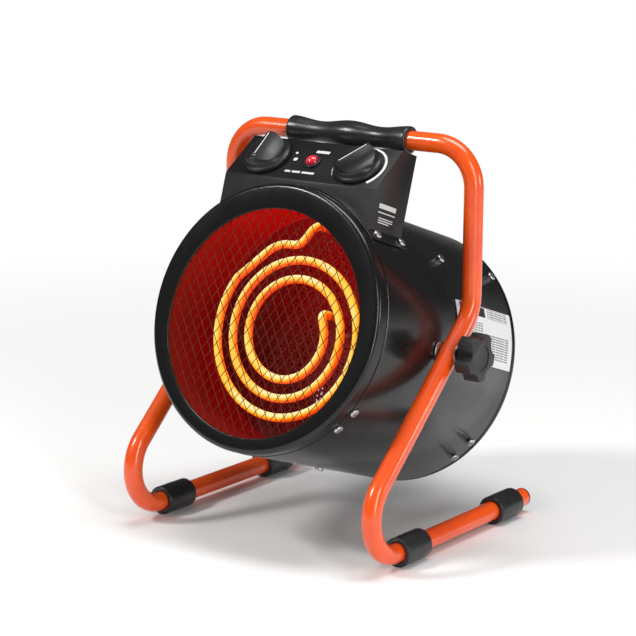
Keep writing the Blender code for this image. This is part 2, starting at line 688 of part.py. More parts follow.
def build_controls(plastic, phenolic, lens, drum):
    knob = [(0, -0.0130), (0.0029, -0.0130), (0.0029, 0.0008), (KNOB_R, 0.0008), (KNOB_R, 0.0034),
            (KNOB_R - 0.0010, 0.0050), (0.0172, 0.0066), (0.0166, 0.0086), (0, 0.0086)]
    for name, x, turn in (("thermostat", KNOB_X, radians(-33.0)), ("switch", -KNOB_X, radians(3.0))):
        place = on_panel(x)
        piece = lathe(f"{name}_knob", knob, 24, plastic, place, drum, closed=False)
        bm = bmesh.new()
        outline = [(-0.0163, 0.0060), (0.0163, 0.0060), (0.0163, 0.0150), (0.0150, 0.0165), (-0.0150, 0.0165),
                   (-0.0163, 0.0150)]
        add_prism(bm, outline, -0.0035, 0.0035)
        ridge = finish_mesh(f"{name}_ridge", bm, None, place @ Matrix.Rotation(turn, 4, "Z"), drum)
        boolean(piece, ridge, "UNION")
    body = [(0.0033, -SHEET - 0.0004), (0.0135, -SHEET - 0.0004), (0.0135, -0.0190), (0, -0.0190), (0, -0.0135),
            (0.0033, -0.0135)]
    lathe("thermostat_body", body, 20, phenolic, on_panel(KNOB_X), drum)
    bm = bmesh.new()
    add_box(bm, (-0.0125, -0.0125, -0.0200), (0.0125, 0.0125, -SHEET - 0.0004))
    switch = finish_mesh("rotary_switch_body", bm, phenolic, on_panel(-KNOB_X), drum)
    bm = bmesh.new()
    add_lathe(bm, [(0, -0.0135), (0.0033, -0.0135), (0.0033, 0.002), (0, 0.002)], 14, on_panel(-KNOB_X), False)
    boolean(switch, finish_mesh("switch_bore", bm, None, parent=drum))
    rim = LAMP_R + 0.0012
    holder = [(0, -0.0150), (0.0052, -0.0150), (0.0052, FIT_GAP), (rim, FIT_GAP), (rim, 0.0014),
              (LAMP_R + 0.0004, 0.0020), (0, 0.0020)]
    lathe("pilot_lamp_holder", holder, 18, plastic, on_panel(0.0), drum, closed=False)
    dome = [(0, 0.0023), (LAMP_R - 0.0004, 0.0023), (LAMP_R - 0.0012, 0.0036), (LAMP_R * 0.5, 0.0046),
            (0, 0.0050)]
    lathe("pilot_lamp_lens", dome, 18, lens, on_panel(0.0), drum, closed=False)
    bm = bmesh.new()
    add_box(bm, drum_point(-0.0150, 0.0470, 0.1150), drum_point(0.0150, 0.0590, 0.1270))
    finish_mesh("terminal_block", bm, phenolic, parent=drum)


# ---- side clamps and screws ------------------------------------------------
def build_clamps(steel, plastic, drum):
    washer_bore = STUD_R + FIT_GAP
    for sign, side in ((1, "right"), (-1, "left")):
        place = across(sign * 1e-9, 0.0, 0.0)
        spacer = (DRUM_R + FIT_GAP, HALF_W - TUBE_R - FIT_GAP)
        washer = (HALF_W + TUBE_R + FIT_GAP, HALF_W + TUBE_R + 0.0018)
        for name, (low, high) in (("pivot_spacer", spacer), ("clamp_washer", washer)):
            profile = [(washer_bore, low), (WASHER_R, low), (WASHER_R, high), (washer_bore, high)]
            lathe(f"{name}_{side}", profile, 18, steel, place, drum)
        nut_face = DRUM_R - DRUM_WALL - 0.0018
        nut = [(washer_bore + 0.0001, STUD_IN + 0.0020), (NUT_R, STUD_IN + 0.0020), (NUT_R, nut_face),
               (washer_bore + 0.0001, nut_face)]
        lathe(f"pivot_nut_{side}", nut, 12, steel, place, drum)
        neck = HALF_W + TUBE_R + 0.0021
        stud = [(0, STUD_IN), (STUD_R - 0.0006, STUD_IN), (STUD_R, STUD_IN + 0.0006), (STUD_R, neck),
                (0.0070, neck), (0.0080, STAR_X0 + 0.0002), (0.0080, STAR_X0 + 0.004), (0, STAR_X0 + 0.004)]
        knob = lathe(f"star_knob_{side}", stud, 16, plastic, place, drum, closed=False)
        bm = bmesh.new()
        levels = ((0.90, STAR_X0), (1.0, STAR_X0 + 0.0016), (1.0, STAR_X1 - 0.0024), (0.86, STAR_X1))
        steps = 40
        rings = []
        for scale, x in levels:
            ring = []
            for i in range(steps):
                a = 2 * pi * i / steps
                radius = (STAR_R - STAR_LOBE * ((1 - cos(STAR_LOBES * a)) / 2) ** 1.6) * scale
                ring.append(bm.verts.new((radius * cos(a + STAR_TURN), radius * sin(a + STAR_TURN), x)))
            rings.append(ring)
        for low, high in zip(rings, rings[1:]):
            for i in range(steps):
                j = (i + 1) % steps
                bm.faces.new([low[i], low[j], high[j], high[i]])
        bm.faces.new(rings[0])
        bm.faces.new(rings[-1])
        boolean(knob, finish_mesh(f"star_head_{side}", bm, None, place, drum), "UNION")


def build_screws(steel, drum):
    head = [(0, -0.0040), (SHANK_R - 0.0003, -0.0040), (SHANK_R, -0.0034), (SHANK_R, FIT_GAP), (HEAD_R, FIT_GAP),
            (HEAD_R, 0.0010), (HEAD_R * 0.72, HEAD_T), (0, HEAD_T + 0.0002)]
    groups = {"ring_screw": [], "grille_screw": [], "bracket_screw": []}
    for u, deg in drum_screw_spots():
        name = {FRONT_SCREW_U: "ring_screw", REAR_SCREW_U: "grille_screw"}.get(u, "bracket_screw")
        groups[name].append((u, deg, DRUM_R))
    groups["flange_screw"] = [(u, deg, DRUM_R + 0.0006 + SHEET) for u, deg in flange_screw_spots()]
    for name, spots in groups.items():
        for number, (u, deg, radius) in enumerate(spots, 1):
            lathe(f"{name}_{number}", head, 8, steel, on_drum(u, deg, radius), drum, closed=False)


def main():
    clear_scene()
    orange = material("orange_paint", (0.80, 0.10, 0.015), 0.0, 0.30)
    black = material("black_paint", (0.012, 0.012, 0.013), 0.0, 0.35)
    rubber = material("black_rubber", (0.016, 0.016, 0.017), 0.0, 0.70)
    plastic = material("black_plastic", (0.013, 0.013, 0.014), 0.0, 0.42)
    zinc = material("zinc_steel", (0.72, 0.73, 0.75), 1.0, 0.30)
    galvanised = material("galvanised_steel", (0.55, 0.56, 0.58), 1.0, 0.45)
    wire = material("guard_wire", (0.05, 0.045, 0.045), 0.6, 0.45)
    hot = material("hot_element", (1.0, 0.30, 0.02), 0.0, 0.6, 2.0)
    ceramic = material("bushing_ceramic", (0.80, 0.77, 0.70), 0.0, 0.55)
    phenolic = material("phenolic", (0.045, 0.035, 0.030), 0.0, 0.5)
    lens = material("red_lens", (0.75, 0.02, 0.06), 0.0, 0.15, 0.6)
    label = material("label_film", (0.78, 0.79, 0.80), 0.0, 0.4)
    blade = material("fan_aluminium", (0.62, 0.63, 0.65), 1.0, 0.42)

    drum = bpy.data.objects.new("drum_pivot", None)
    bpy.context.scene.collection.objects.link(drum)
    drum.matrix_world = Matrix.Translation((0.0, PIVOT_Y, PIVOT_Z)) @ Matrix.Rotation(-TILT, 4, "X")

    build_stand_tube(orange)
    build_feet(rubber, plastic)
    build_grip(rubber)
    build_drum_shell(black, drum)
    build_front_ring(black, drum)
    build_front_guard(wire, drum)
    build_liner(galvanised, drum)
    build_element(hot, drum)
    build_baffle(galvanised, drum)
    build_bushings(ceramic, drum)
    build_motor(galvanised, phenolic, drum)
    build_fan(blade, zinc, drum)
    build_rear_grille(black, drum)
    build_cutout(phenolic, drum)
    build_rating_plate(label, drum)
    build_box_cover(black, drum)
    build_box_back(black, plastic, drum)
    build_controls(plastic, phenolic, lens, drum)
    build_clamps(zinc, plastic, drum)
    build_screws(zinc, drum)
    bpy.context.view_layer.update()


main()
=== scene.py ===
"""Looks of a portable round fan heater: its finished pieces, their materials and a plain studio."""

import json
from math import asin, atan2, ceil, cos, degrees, hypot, pi, radians, sin, sqrt, tan

import bmesh
import bpy
from bpy.props import FloatProperty, FloatVectorProperty, IntProperty, PointerProperty
from mathutils import Matrix, Vector


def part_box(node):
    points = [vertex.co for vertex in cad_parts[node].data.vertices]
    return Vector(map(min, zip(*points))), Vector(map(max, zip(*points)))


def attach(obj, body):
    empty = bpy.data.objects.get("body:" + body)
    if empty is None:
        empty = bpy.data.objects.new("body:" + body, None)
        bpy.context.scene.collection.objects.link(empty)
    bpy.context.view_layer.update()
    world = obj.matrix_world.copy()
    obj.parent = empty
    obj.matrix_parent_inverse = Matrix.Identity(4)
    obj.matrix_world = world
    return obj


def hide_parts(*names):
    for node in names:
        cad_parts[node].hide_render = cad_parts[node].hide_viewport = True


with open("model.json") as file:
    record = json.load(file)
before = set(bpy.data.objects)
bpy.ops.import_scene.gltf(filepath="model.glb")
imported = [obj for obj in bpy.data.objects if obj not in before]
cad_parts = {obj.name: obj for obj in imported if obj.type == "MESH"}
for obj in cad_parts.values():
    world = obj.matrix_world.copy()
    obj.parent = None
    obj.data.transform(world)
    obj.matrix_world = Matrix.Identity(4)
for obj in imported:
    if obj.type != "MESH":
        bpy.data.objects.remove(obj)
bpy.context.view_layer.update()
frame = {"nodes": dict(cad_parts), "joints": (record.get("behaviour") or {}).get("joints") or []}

bl_info = {
    "name": "Round fan heater looks",
    "version": (1, 0, 0),
    "blender": (4, 5, 0),
    "location": "3D View > Sidebar > Heater",
    "description": "Finished pieces, materials and a studio for a round fan heater",
    "category": "Object",
}

MM = 0.001


# ---- the frame ---------------------------------------------------------------
JOINTS = {joint["name"]: joint for joint in frame["joints"]}
RIGHT = Vector((1, 0, 0))
FRONT = Vector(JOINTS["fan_spin"]["axis"])
UP = FRONT.cross(RIGHT)
HUB = Vector(JOINTS["fan_spin"]["pos_m"])
PIVOT = Vector(JOINTS["drum_tilt"]["pos_m"])


def axes(origin, across, up, out):
    """The matrix that takes a piece drawn at the origin to its place."""
    turn = Matrix((across, up, out)).transposed().to_4x4()
    return Matrix.Translation(origin) @ turn


def reach(node, direction, origin):
    """How far a CAD node reaches from a point along a direction: its least and its most."""
    far = [(vertex.co - origin).dot(direction) for vertex in frame["nodes"][node].data.vertices]
    return min(far), max(far)


MOUTH = HUB + FRONT * reach("front_ring", FRONT, HUB)[1]
DRUM = axes(MOUTH, RIGHT, UP, FRONT)


def depths(node):
    """How deep behind the ring's face a CAD node starts and ends."""
    least, most = reach(node, FRONT, MOUTH)
    return -most, -least


def girth(node):
    """A CAD node's smallest and largest distance from the drum's axis."""
    flat = [DRUM.inverted() @ vertex.co for vertex in frame["nodes"][node].data.vertices]
    return min(hypot(*spot.xy) for spot in flat), max(hypot(*spot.xy) for spot in flat)


def middle(node):
    low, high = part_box(node)
    return (low + high) / 2


DRUM_R = girth("drum_shell")[1]
DRUM_START, DRUM_END = depths("drum_shell")
RING_R = girth("front_ring")[1]
SHEET = 1.2 * MM

BOX_HALF = 74.2 * MM

KNOB_OUT = -Vector(JOINTS["thermostat_turn"]["axis"])
KNOB_X = JOINTS["thermostat_turn"]["pos_m"][0]
PANEL = axes(Vector(JOINTS["thermostat_turn"]["pos_m"]) - RIGHT * KNOB_X, RIGHT, KNOB_OUT.cross(RIGHT),
             KNOB_OUT)

FOOT = middle("foot_sleeve_front_right")
BAR = middle("handle_grip")
TUBE_R = (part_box("stand_tube")[1].x - FOOT.x)


# ---- what a user would change -------------------------------------------------
class HeaterSizes(bpy.types.PropertyGroup):
    """Sizes of the finished pieces"""
    bend: FloatProperty(name="Tube bend", description="Bend radius of the stand's tube", default=34 * MM,
                        unit="LENGTH")
    toe: FloatProperty(name="Toe", description="Where the leg's slope meets the foot, along Y",
                       default=-178 * MM,
                       unit="LENGTH")
    knee: FloatProperty(name="Knee", description="Height where the leg turns upright", default=188.7 * MM,
                        unit="LENGTH")
    grip_wave: FloatProperty(name="Grip wave", description="Depth of the grip's finger dips",
                             default=2.9 * MM,
                             unit="LENGTH")
    hole_land: FloatProperty(name="Hole land",
                             description="Metal left round each baffle hole, over the pitch",
                             default=0.35)
    mouth: FloatProperty(name="Mouth", description="Radius of the ring's opening", default=92.8 * MM,
                         unit="LENGTH")
    mouth_drop: FloatProperty(name="Mouth drop", description="How far the opening sits below the drum's axis",
                              default=4.4 * MM, unit="LENGTH")
    ring_edge: FloatProperty(name="Ring edge", description="Rounding of the ring's outer edge",
                             default=4.2 * MM,
                             unit="LENGTH")
    mesh_width: FloatProperty(name="Mesh width", description="Width of the guard's diamonds",
                              default=9.3 * MM,
                              unit="LENGTH")
    mesh_height: FloatProperty(name="Mesh height", description="Height of the guard's diamonds",
                               default=14.0 * MM, unit="LENGTH")
    mesh_wire: FloatProperty(name="Mesh wire", description="Thickness of the guard's wire", default=0.65 * MM,
                             unit="LENGTH")
    coil_tube: FloatProperty(name="Element tube", description="Radius of the element's tube",
                             default=3.5 * MM,
                             unit="LENGTH")
    coil_start: FloatProperty(name="Coil start", description="Radius at which the coil starts",
                              default=32.4 * MM,
                              unit="LENGTH")
    coil_pitch: FloatProperty(name="Coil pitch", description="Growth of the coil in one turn",
                              default=15.5 * MM,
                              unit="LENGTH")
    hole_pitch: FloatProperty(name="Hole pitch", description="Distance between the baffle's holes",
                              default=7.6 * MM, unit="LENGTH")
    sides: IntProperty(name="Sides", description="Sides of the largest turned pieces", default=128, min=24)


class HeaterColours(bpy.types.PropertyGroup):
    """Colours of the finished pieces"""
    orange: FloatVectorProperty(name="Stand paint", description="Colour of the stand's paint",
                                subtype="COLOR",
                                size=3, default=(0.90, 0.100, 0.006))
    black: FloatVectorProperty(name="Drum paint", description="Colour of the drum's and the box's paint",
                               subtype="COLOR", size=3, default=(0.008, 0.008, 0.0085))
    rubber: FloatVectorProperty(name="Rubber", description="Colour of the grip and sleeves", subtype="COLOR",
                                size=3, default=(0.017, 0.017, 0.018))
    # Colour of the painted glow inside the drum: the element's light painted onto the liner as emission.
    glow_paint_colour: FloatVectorProperty(name="Ember", description="Colour of the heated inside", subtype="COLOR",
                               size=3,
                               default=(0.58, 0.001, 0.001))
    lamp: FloatVectorProperty(name="Lamp", description="Colour of the pilot lamp", subtype="COLOR", size=3,
                              default=(0.75, 0.015, 0.03))


class HeaterStudio(bpy.types.PropertyGroup):
    """The camera and the lights"""
    azimuth: FloatProperty(name="Azimuth", description="How far round the camera stands",
                           default=radians(35.47),
                           subtype="ANGLE")
    elevation: FloatProperty(name="Elevation", description="How far down the camera looks",
                             default=radians(12.16), subtype="ANGLE")
    roll: FloatProperty(name="Roll", description="Roll of the camera", default=radians(0.38), subtype="ANGLE")
    stand: FloatVectorProperty(name="Camera place", description="Where the camera stands", size=3,
                               default=(1.0931, -1.5629, 0.5817), subtype="TRANSLATION")
    ambient: FloatProperty(name="Ambient", description="Light of the room on matt surfaces", default=0.24)
    reflected: FloatProperty(name="Reflected", description="Light of the room in glossy surfaces",
                             default=0.05)
    lens: FloatProperty(name="Lens", description="Focal length", default=132.4, unit="CAMERA")


def sizes():
    return bpy.context.scene.heater_sizes


def colours():
    return bpy.context.scene.heater_colours


# ---- modelling by hand ---------------------------------------------------------
def alone(piece=None):
    """Leaves nothing selected, or one piece."""
    bpy.ops.object.select_all(action="DESELECT")
    if piece:
        piece.select_set(True)
        bpy.context.view_layer.objects.active = piece


def named(name):
    piece = bpy.context.object
    piece.name = piece.data.name = name
    bpy.ops.object.transform_apply(location=True, rotation=True, scale=True)
    return piece


def open_mesh(piece, kind="EDGE"):
    """Goes into edit mode on one piece, with all of it selected."""
    alone(piece)
    bpy.ops.object.mode_set(mode="EDIT")
    bpy.ops.mesh.select_mode(type=kind)
    bpy.ops.mesh.select_all(action="SELECT")


def close_mesh(tidy=False):
    """Leaves edit mode; a tidied mesh has its doubles merged and its faces turned outwards."""
    if tidy:
        bpy.ops.mesh.select_all(action="SELECT")
        bpy.ops.mesh.remove_doubles(threshold=0.002 * MM)
        bpy.ops.mesh.normals_make_consistent(inside=False)
    bpy.ops.object.mode_set(mode="OBJECT")


def pick(kind, test):
    """Selects the vertices, edges or faces of the open mesh whose middle passes a test."""
    bpy.ops.mesh.select_mode(type={"verts": "VERT", "edges": "EDGE", "faces": "FACE"}[kind])
    bpy.ops.mesh.select_all(action="DESELECT")
    data = bpy.context.object.data
    mesh = bmesh.from_edit_mesh(data)
    for item in getattr(mesh, kind):
        corners = [item.co] if kind == "verts" else [vertex.co for vertex in item.verts]
        item.select_set(test(sum(corners, Vector()) / len(corners), item))
    mesh.select_flush_mode()
    bmesh.update_edit_mesh(data)


def settle(piece, place=Matrix.Identity(4)):
    """Puts a piece in its place, and the place in its mesh."""
    piece.matrix_world = place @ piece.matrix_world
    alone(piece)
    bpy.ops.object.transform_apply(location=True, rotation=True, scale=True)
    return piece


def shape(piece, kind, **settings):
    """Adds a modifier and applies it."""
    modifier = piece.modifiers.new(kind.title(), kind)
    for key, value in settings.items():
        setattr(modifier, key, value)
    alone(piece)
    bpy.ops.object.modifier_apply(modifier=modifier.name)
    return piece


def cut(piece, tool, operation="DIFFERENCE"):
    shape(piece, "BOOLEAN", object=tool, operation=operation, solver="EXACT")
    bpy.data.objects.remove(tool)
    return piece


def soften(piece, width, segments=3, angle=30.0):
    return shape(piece, "BEVEL", width=width, segments=segments, limit_method="ANGLE",
                 angle_limit=radians(angle),
                 harden_normals=False)


def smooth(piece, angle=35.0):
    alone(piece)
    bpy.ops.object.shade_smooth_by_angle(angle=radians(angle))
    return piece


def joined(name, pieces):
    alone(pieces[0])
    for piece in pieces:
        piece.select_set(True)
    if len(pieces) > 1:
        bpy.ops.object.join()
    return named(name)


def copied(piece, name, place):
    """A copy with its own mesh, put in its place."""
    twin = piece.copy()
    twin.data = piece.data.copy()
    twin.name = twin.data.name = name
    bpy.context.scene.collection.objects.link(twin)
    return settle(twin, place)


def arc(centre, radius, start, end, steps=5):
    """Points of a round stretch of an outline, with its angles in degrees."""
    turns = [radians(start + (end - start) * k / steps) for k in range(steps + 1)]
    return [(centre[0] + radius * cos(turn), centre[1] + radius * sin(turn)) for turn in turns]


def turned(name, outline, sides, closed=False):
    """Turns an outline of (radius, height) points about Z by extruding a circle from point to point."""
    points = list(outline) + ([outline[0]] if closed else [])
    capped = points[0][0] == 0
    if capped:
        tip = points.pop(0)
    radius, height = points[0]
    alone()
    bpy.ops.mesh.primitive_circle_add(vertices=sides, radius=radius, location=(0, 0, height),
                                      fill_type="TRIFAN" if capped else "NOTHING")
    piece = named(name)
    open_mesh(piece)
    if capped:
        pick("verts", lambda spot, item: hypot(*spot.xy) < radius / 2)
        bpy.ops.transform.translate(value=(0, 0, tip[1] - height))
        pick("edges", lambda spot, item: item.is_boundary)
    for (wide, low), (next_wide, high) in zip(points, points[1:]):
        bpy.ops.mesh.extrude_edges_move(TRANSFORM_OT_translate={"value": (0, 0, high - low)})
        if next_wide == 0:
            bpy.ops.mesh.merge(type="CENTER")
        else:
            grow = next_wide / wide
            bpy.ops.transform.resize(value=(grow, grow, 1), center_override=(0, 0, high))
    close_mesh(tidy=True)
    return piece


def bends(corners, radius):
    """The straight runs and arcs of a line with round corners: a list of (radius, corner) is a bend each."""
    steps = []
    here = Vector(corners[0])
    for number, (corner, after) in enumerate(zip(corners[1:], corners[2:])):
        corner, after = Vector(corner), Vector(after)
        bend = radius[number] if isinstance(radius, (list, tuple)) else radius
        into, out = (corner - here).normalized(), (after - corner).normalized()
        turn = into.angle(out)
        start = corner - into * bend * tan(turn / 2)
        inward = (out - into * into.dot(out)).normalized()
        steps.append(("run", start - here))
        steps.append(("arc", start + inward * bend, out.cross(into).normalized(), turn))
        here = corner + out * bend * tan(turn / 2)
    steps.append(("run", Vector(corners[-1]) - here))
    return steps


def drawn_tube(name, start, heading, steps, radius, sides, step_angle=6.0):
    """A tube drawn as it is bent: a circle is extruded along each run and spun round each arc."""
    alone()
    turn = Vector(heading).to_track_quat("Z", "Y").to_euler()
    bpy.ops.mesh.primitive_circle_add(vertices=sides, radius=radius, location=start, rotation=turn)
    piece = named(name)
    open_mesh(piece)
    for step in steps:
        if step[0] == "run":
            bpy.ops.mesh.extrude_edges_move(TRANSFORM_OT_translate={"value": step[1]})
        else:
            count = max(2, ceil(degrees(step[3]) / step_angle))
            bpy.ops.mesh.spin(steps=count, angle=step[3], center=step[1], axis=step[2])
    close_mesh(tidy=True)
    return piece


def dress(piece, finish, body, slot=None, *nodes):
    """Gives a piece its finish, the body it rides on and the CAD nodes it stands for; its slot is not used.
    """
    piece.data.materials.clear()
    piece.data.materials.append(FINISHES[finish])
    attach(piece, body)
    if nodes:
        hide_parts(*nodes)
    return piece


# ---- materials -----------------------------------------------------------------
class Value:
    """A socket's value in an expression: each operator adds its Math node."""

    def __init__(self, finish, socket):
        self.finish = finish
        self.socket = socket

    def math(self, operation, *values):
        return self.finish.node("ShaderNodeMath", {"operation": operation}, dict(enumerate(values)))

    def __add__(self, other):
        return self.math("ADD", self, other)

    def __sub__(self, other):
        return self.math("SUBTRACT", self, other)

    def __rsub__(self, other):
        return self.math("SUBTRACT", other, self)

    def __mul__(self, other):
        return self.math("MULTIPLY", self, other)

    def __truediv__(self, other):
        return self.math("DIVIDE", self, other)

    def __lt__(self, other):
        return self.math("LESS_THAN", self, other)

    def __gt__(self, other):
        return self.math("GREATER_THAN", self, other)

    __radd__ = __add__
    __rmul__ = __mul__

    def power(self, other):
        return self.math("POWER", self, other)

    def fraction(self):
        return self.math("FRACT", self)

    def between(self, low, high):
        """1 between two values, and 0 outside them."""
        return (self > low) * (self < high)

    def ramp(self, low, high):
        """0 at the low value to 1 at the high one, smoothly."""
        settings = {"interpolation_type": "SMOOTHSTEP"}
        return self.finish.node("ShaderNodeMapRange", settings, {0: self, 1: low, 2: high, 3: 0.0, 4: 1.0})


class Finish:
    """A material under construction, with one method that adds any node."""

    def __init__(self, name, **constants):
        self.material = bpy.data.materials.new(name)
        self.material.use_nodes = True
        self.nodes = self.material.node_tree.nodes
        self.shader = self.nodes["Principled BSDF"]
        for key, value in constants.items():
            socket = self.shader.inputs[key.replace("_", " ")]
            socket.default_value = (*value, 1.0) if isinstance(value,
                                                               (tuple, bpy.types.bpy_prop_array)) else value

    def node(self, kind, settings=None, values=None, output=0):
        """Adds a node, its settings first, then its sockets' values or links."""
        made = self.nodes.new(kind)
        for key, value in (settings or {}).items():
            if key == "stops":
                while len(made.color_ramp.elements) < len(value):
                    made.color_ramp.elements.new(0.5)
                for element, (place, colour) in zip(made.color_ramp.elements, value):
                    element.position = place
                    element.color = (*colour, 1.0)
            else:
                setattr(made, key, value)
        for key, value in (values or {}).items():
            socket = made.inputs[key]
            if isinstance(value, Value):
                self.material.node_tree.links.new(value.socket, socket)
            elif socket.type == "RGBA" and len(value) == 3:
                socket.default_value = (*value, 1.0)
            else:
                socket.default_value = value
        return Value(self, made.outputs[output])

    def place(self, matrix=None):
        """Object coordinates, or coordinates in a piece's own frame."""
        spot = self.node("ShaderNodeTexCoord", output="Object")
        if matrix is None:
            return spot
        back = matrix.inverted()
        return self.node("ShaderNodeMapping", {"vector_type": "POINT"},
                         {"Vector": spot, "Location": back.translation, "Rotation": back.to_euler()})

    def split(self, vector):
        parts = self.nodes.new("ShaderNodeSeparateXYZ")
        self.material.node_tree.links.new(vector.socket, parts.inputs[0])
        return [Value(self, output) for output in parts.outputs]

    def noise(self, spot, scale, detail=3.0, rough=0.5):
        return self.node("ShaderNodeTexNoise", {}, {"Vector": spot, "Scale": scale, "Detail": detail,
                                                    "Roughness": rough})

    def mix(self, amount, first, second):
        """A colour between two colours."""
        return self.node("ShaderNodeMix", {"data_type": "RGBA"}, {0: amount, 6: first, 7: second}, output=2)

    def scaled(self, spot, factors):
        return self.node("ShaderNodeVectorMath", {"operation": "MULTIPLY"}, {0: spot, 1: factors})

    def bump(self, height, strength, distance):
        normal = self.node("ShaderNodeBump", {}, {"Height": height, "Strength": strength,
                                                  "Distance": distance})
        self.feed(Normal=normal)

    def feed(self, **values):
        for key, value in values.items():
            self.material.node_tree.links.new(value.socket, self.shader.inputs[key.replace("_", " ")])


FINISHES = {}


def keep(name, finish):
    FINISHES[name] = finish.material
    return finish


def paint(name, colour, dark, rough, orange_peel=0.10, coat=0.5, specular=0.5):
    """Sprayed enamel: a faint orange peel, settled dust and rubbed spots, a clear gloss on top."""
    finish = keep(name, Finish(name, Coat_Weight=coat, Coat_Roughness=0.12, IOR=1.5,
                               Specular_IOR_Level=specular))
    spot = finish.place()
    cloud = finish.noise(spot, 22.0, 4.0).ramp(0.35, 0.70)
    speck = finish.noise(spot, 900.0, 2.0).ramp(0.60, 0.72)
    finish.feed(Base_Color=finish.mix(cloud * 0.55 + speck * 0.12, colour, dark),
                Roughness=cloud * 0.07 + speck * 0.08 + rough)
    finish.bump(finish.noise(spot, 420.0, 2.0), orange_peel, 0.10 * MM)
    return finish


def moulded(name, colour, rough, grain_scale, grain, pale=1.9):
    """Moulded plastic or rubber: fine grain, a bloom on the surface and uneven gloss."""
    finish = keep(name, Finish(name, IOR=1.48))
    spot = finish.place()
    bloom = finish.noise(spot, 35.0, 4.0).ramp(0.40, 0.72)
    fine = finish.noise(spot, grain_scale, 3.0, 0.6)
    lighter = tuple(channel * pale for channel in colour)
    finish.feed(Base_Color=finish.mix(bloom * 0.6 + fine * 0.2, colour, lighter),
                Roughness=bloom * 0.10 + fine * 0.08 + rough)
    finish.bump(fine, grain, 0.06 * MM)
    return finish


def plated(name, colour, rough, stretch, scratch=0.25):
    """Plated or rolled steel: fine lines one way, cloudy spangle and dull specks."""
    finish = keep(name, Finish(name, Metallic=1.0))
    spot = finish.place()
    line = finish.noise(finish.scaled(spot, stretch), 60.0, 4.0)
    cloud = finish.noise(spot, 160.0, 3.0).ramp(0.35, 0.7)
    dull = tuple(channel * 0.55 for channel in colour)
    finish.feed(Base_Color=finish.mix(cloud * 0.5 + line * 0.2, colour, dull),
                Roughness=cloud * 0.12 + line * 0.15 + rough)
    finish.bump(line, scratch, 0.03 * MM)
    return finish


def hot_tube():
    """The glowing sheath: its glow is real, and a painted highlight makes it palest where it faces out and
    up, deeper orange round its sides.
    """
    finish = keep("hot_element", Finish("hot_element", Metallic=0.0, Roughness=0.55,
                                        Base_Color=(0.25, 0.03, 0.004),
                                        Emission_Strength=1.0))
    normal = finish.node("ShaderNodeTexCoord", output="Normal")
    # Painted highlight: the glow's colour follows the way each surface faces, palest out and up.
    lean = (FRONT * 0.62 + UP * 0.70 - RIGHT * 0.35).normalized()
    highlight_facing = finish.node("ShaderNodeVectorMath", {"operation": "DOT_PRODUCT"}, {0: normal, 1: lean}, output=1)
    spot = finish.place(DRUM)
    patch = finish.noise(spot, 34.0, 3.0)
    heat_and_highlight = highlight_facing * 0.62 + patch * 0.55
    stops = [(0.0, (0.75, 0.045, 0.002)), (0.30, (1.0, 0.16, 0.004)), (0.52, (1.0, 0.42, 0.012)),
             (0.74, (1.0, 0.66, 0.07)), (0.92, (1.0, 0.90, 0.42))]
    colour = finish.node("ShaderNodeValToRGB", {"stops": stops}, {"Fac": heat_and_highlight.ramp(-0.15, 1.05)})
    cold_from, cold_to = 43 * MM, 56 * MM
    cold = (finish.split(spot)[2] * -1.0).ramp(cold_from, cold_to)
    finish.feed(Emission_Color=finish.mix(cold, colour, (0.10, 0.002, 0.001)))
    finish.bump(finish.noise(spot, 700.0, 3.0), 0.2, 0.05 * MM)
    FINISHES["hot_element"] = finish.material


def painted_glow_sheet(name, metal, deep, bright):
    """Sheet steel with painted glow: emission stands in for the element's light on it, brightest at the upper
    right of the mouth, dark low on the left.
    """
    finish = keep(name, Finish(name, Metallic=0.0, Emission_Strength=1.0, Specular_IOR_Level=0.2))
    spot = finish.place(DRUM)
    x, y, z = finish.split(spot)
    # Painted glow and shade: the emission grows in one direction across the drum, as the element's light
    # falls on the sheet.
    rise = (x * 5.0 + y * 7.0 + z * 3.0).ramp(-0.75, 0.95)
    scorch = finish.noise(spot, 26.0, 4.0).ramp(0.3, 0.75)
    colour = finish.mix(rise * 0.85 + scorch * 0.15, deep, bright)
    finish.feed(Base_Color=finish.mix(scorch, metal, tuple(channel * 0.5 for channel in metal)),
                Emission_Color=colour, Roughness=scorch * 0.2 + 0.5)
    finish.bump(finish.noise(spot, 300.0, 3.0), 0.15, 0.05 * MM)
    return finish


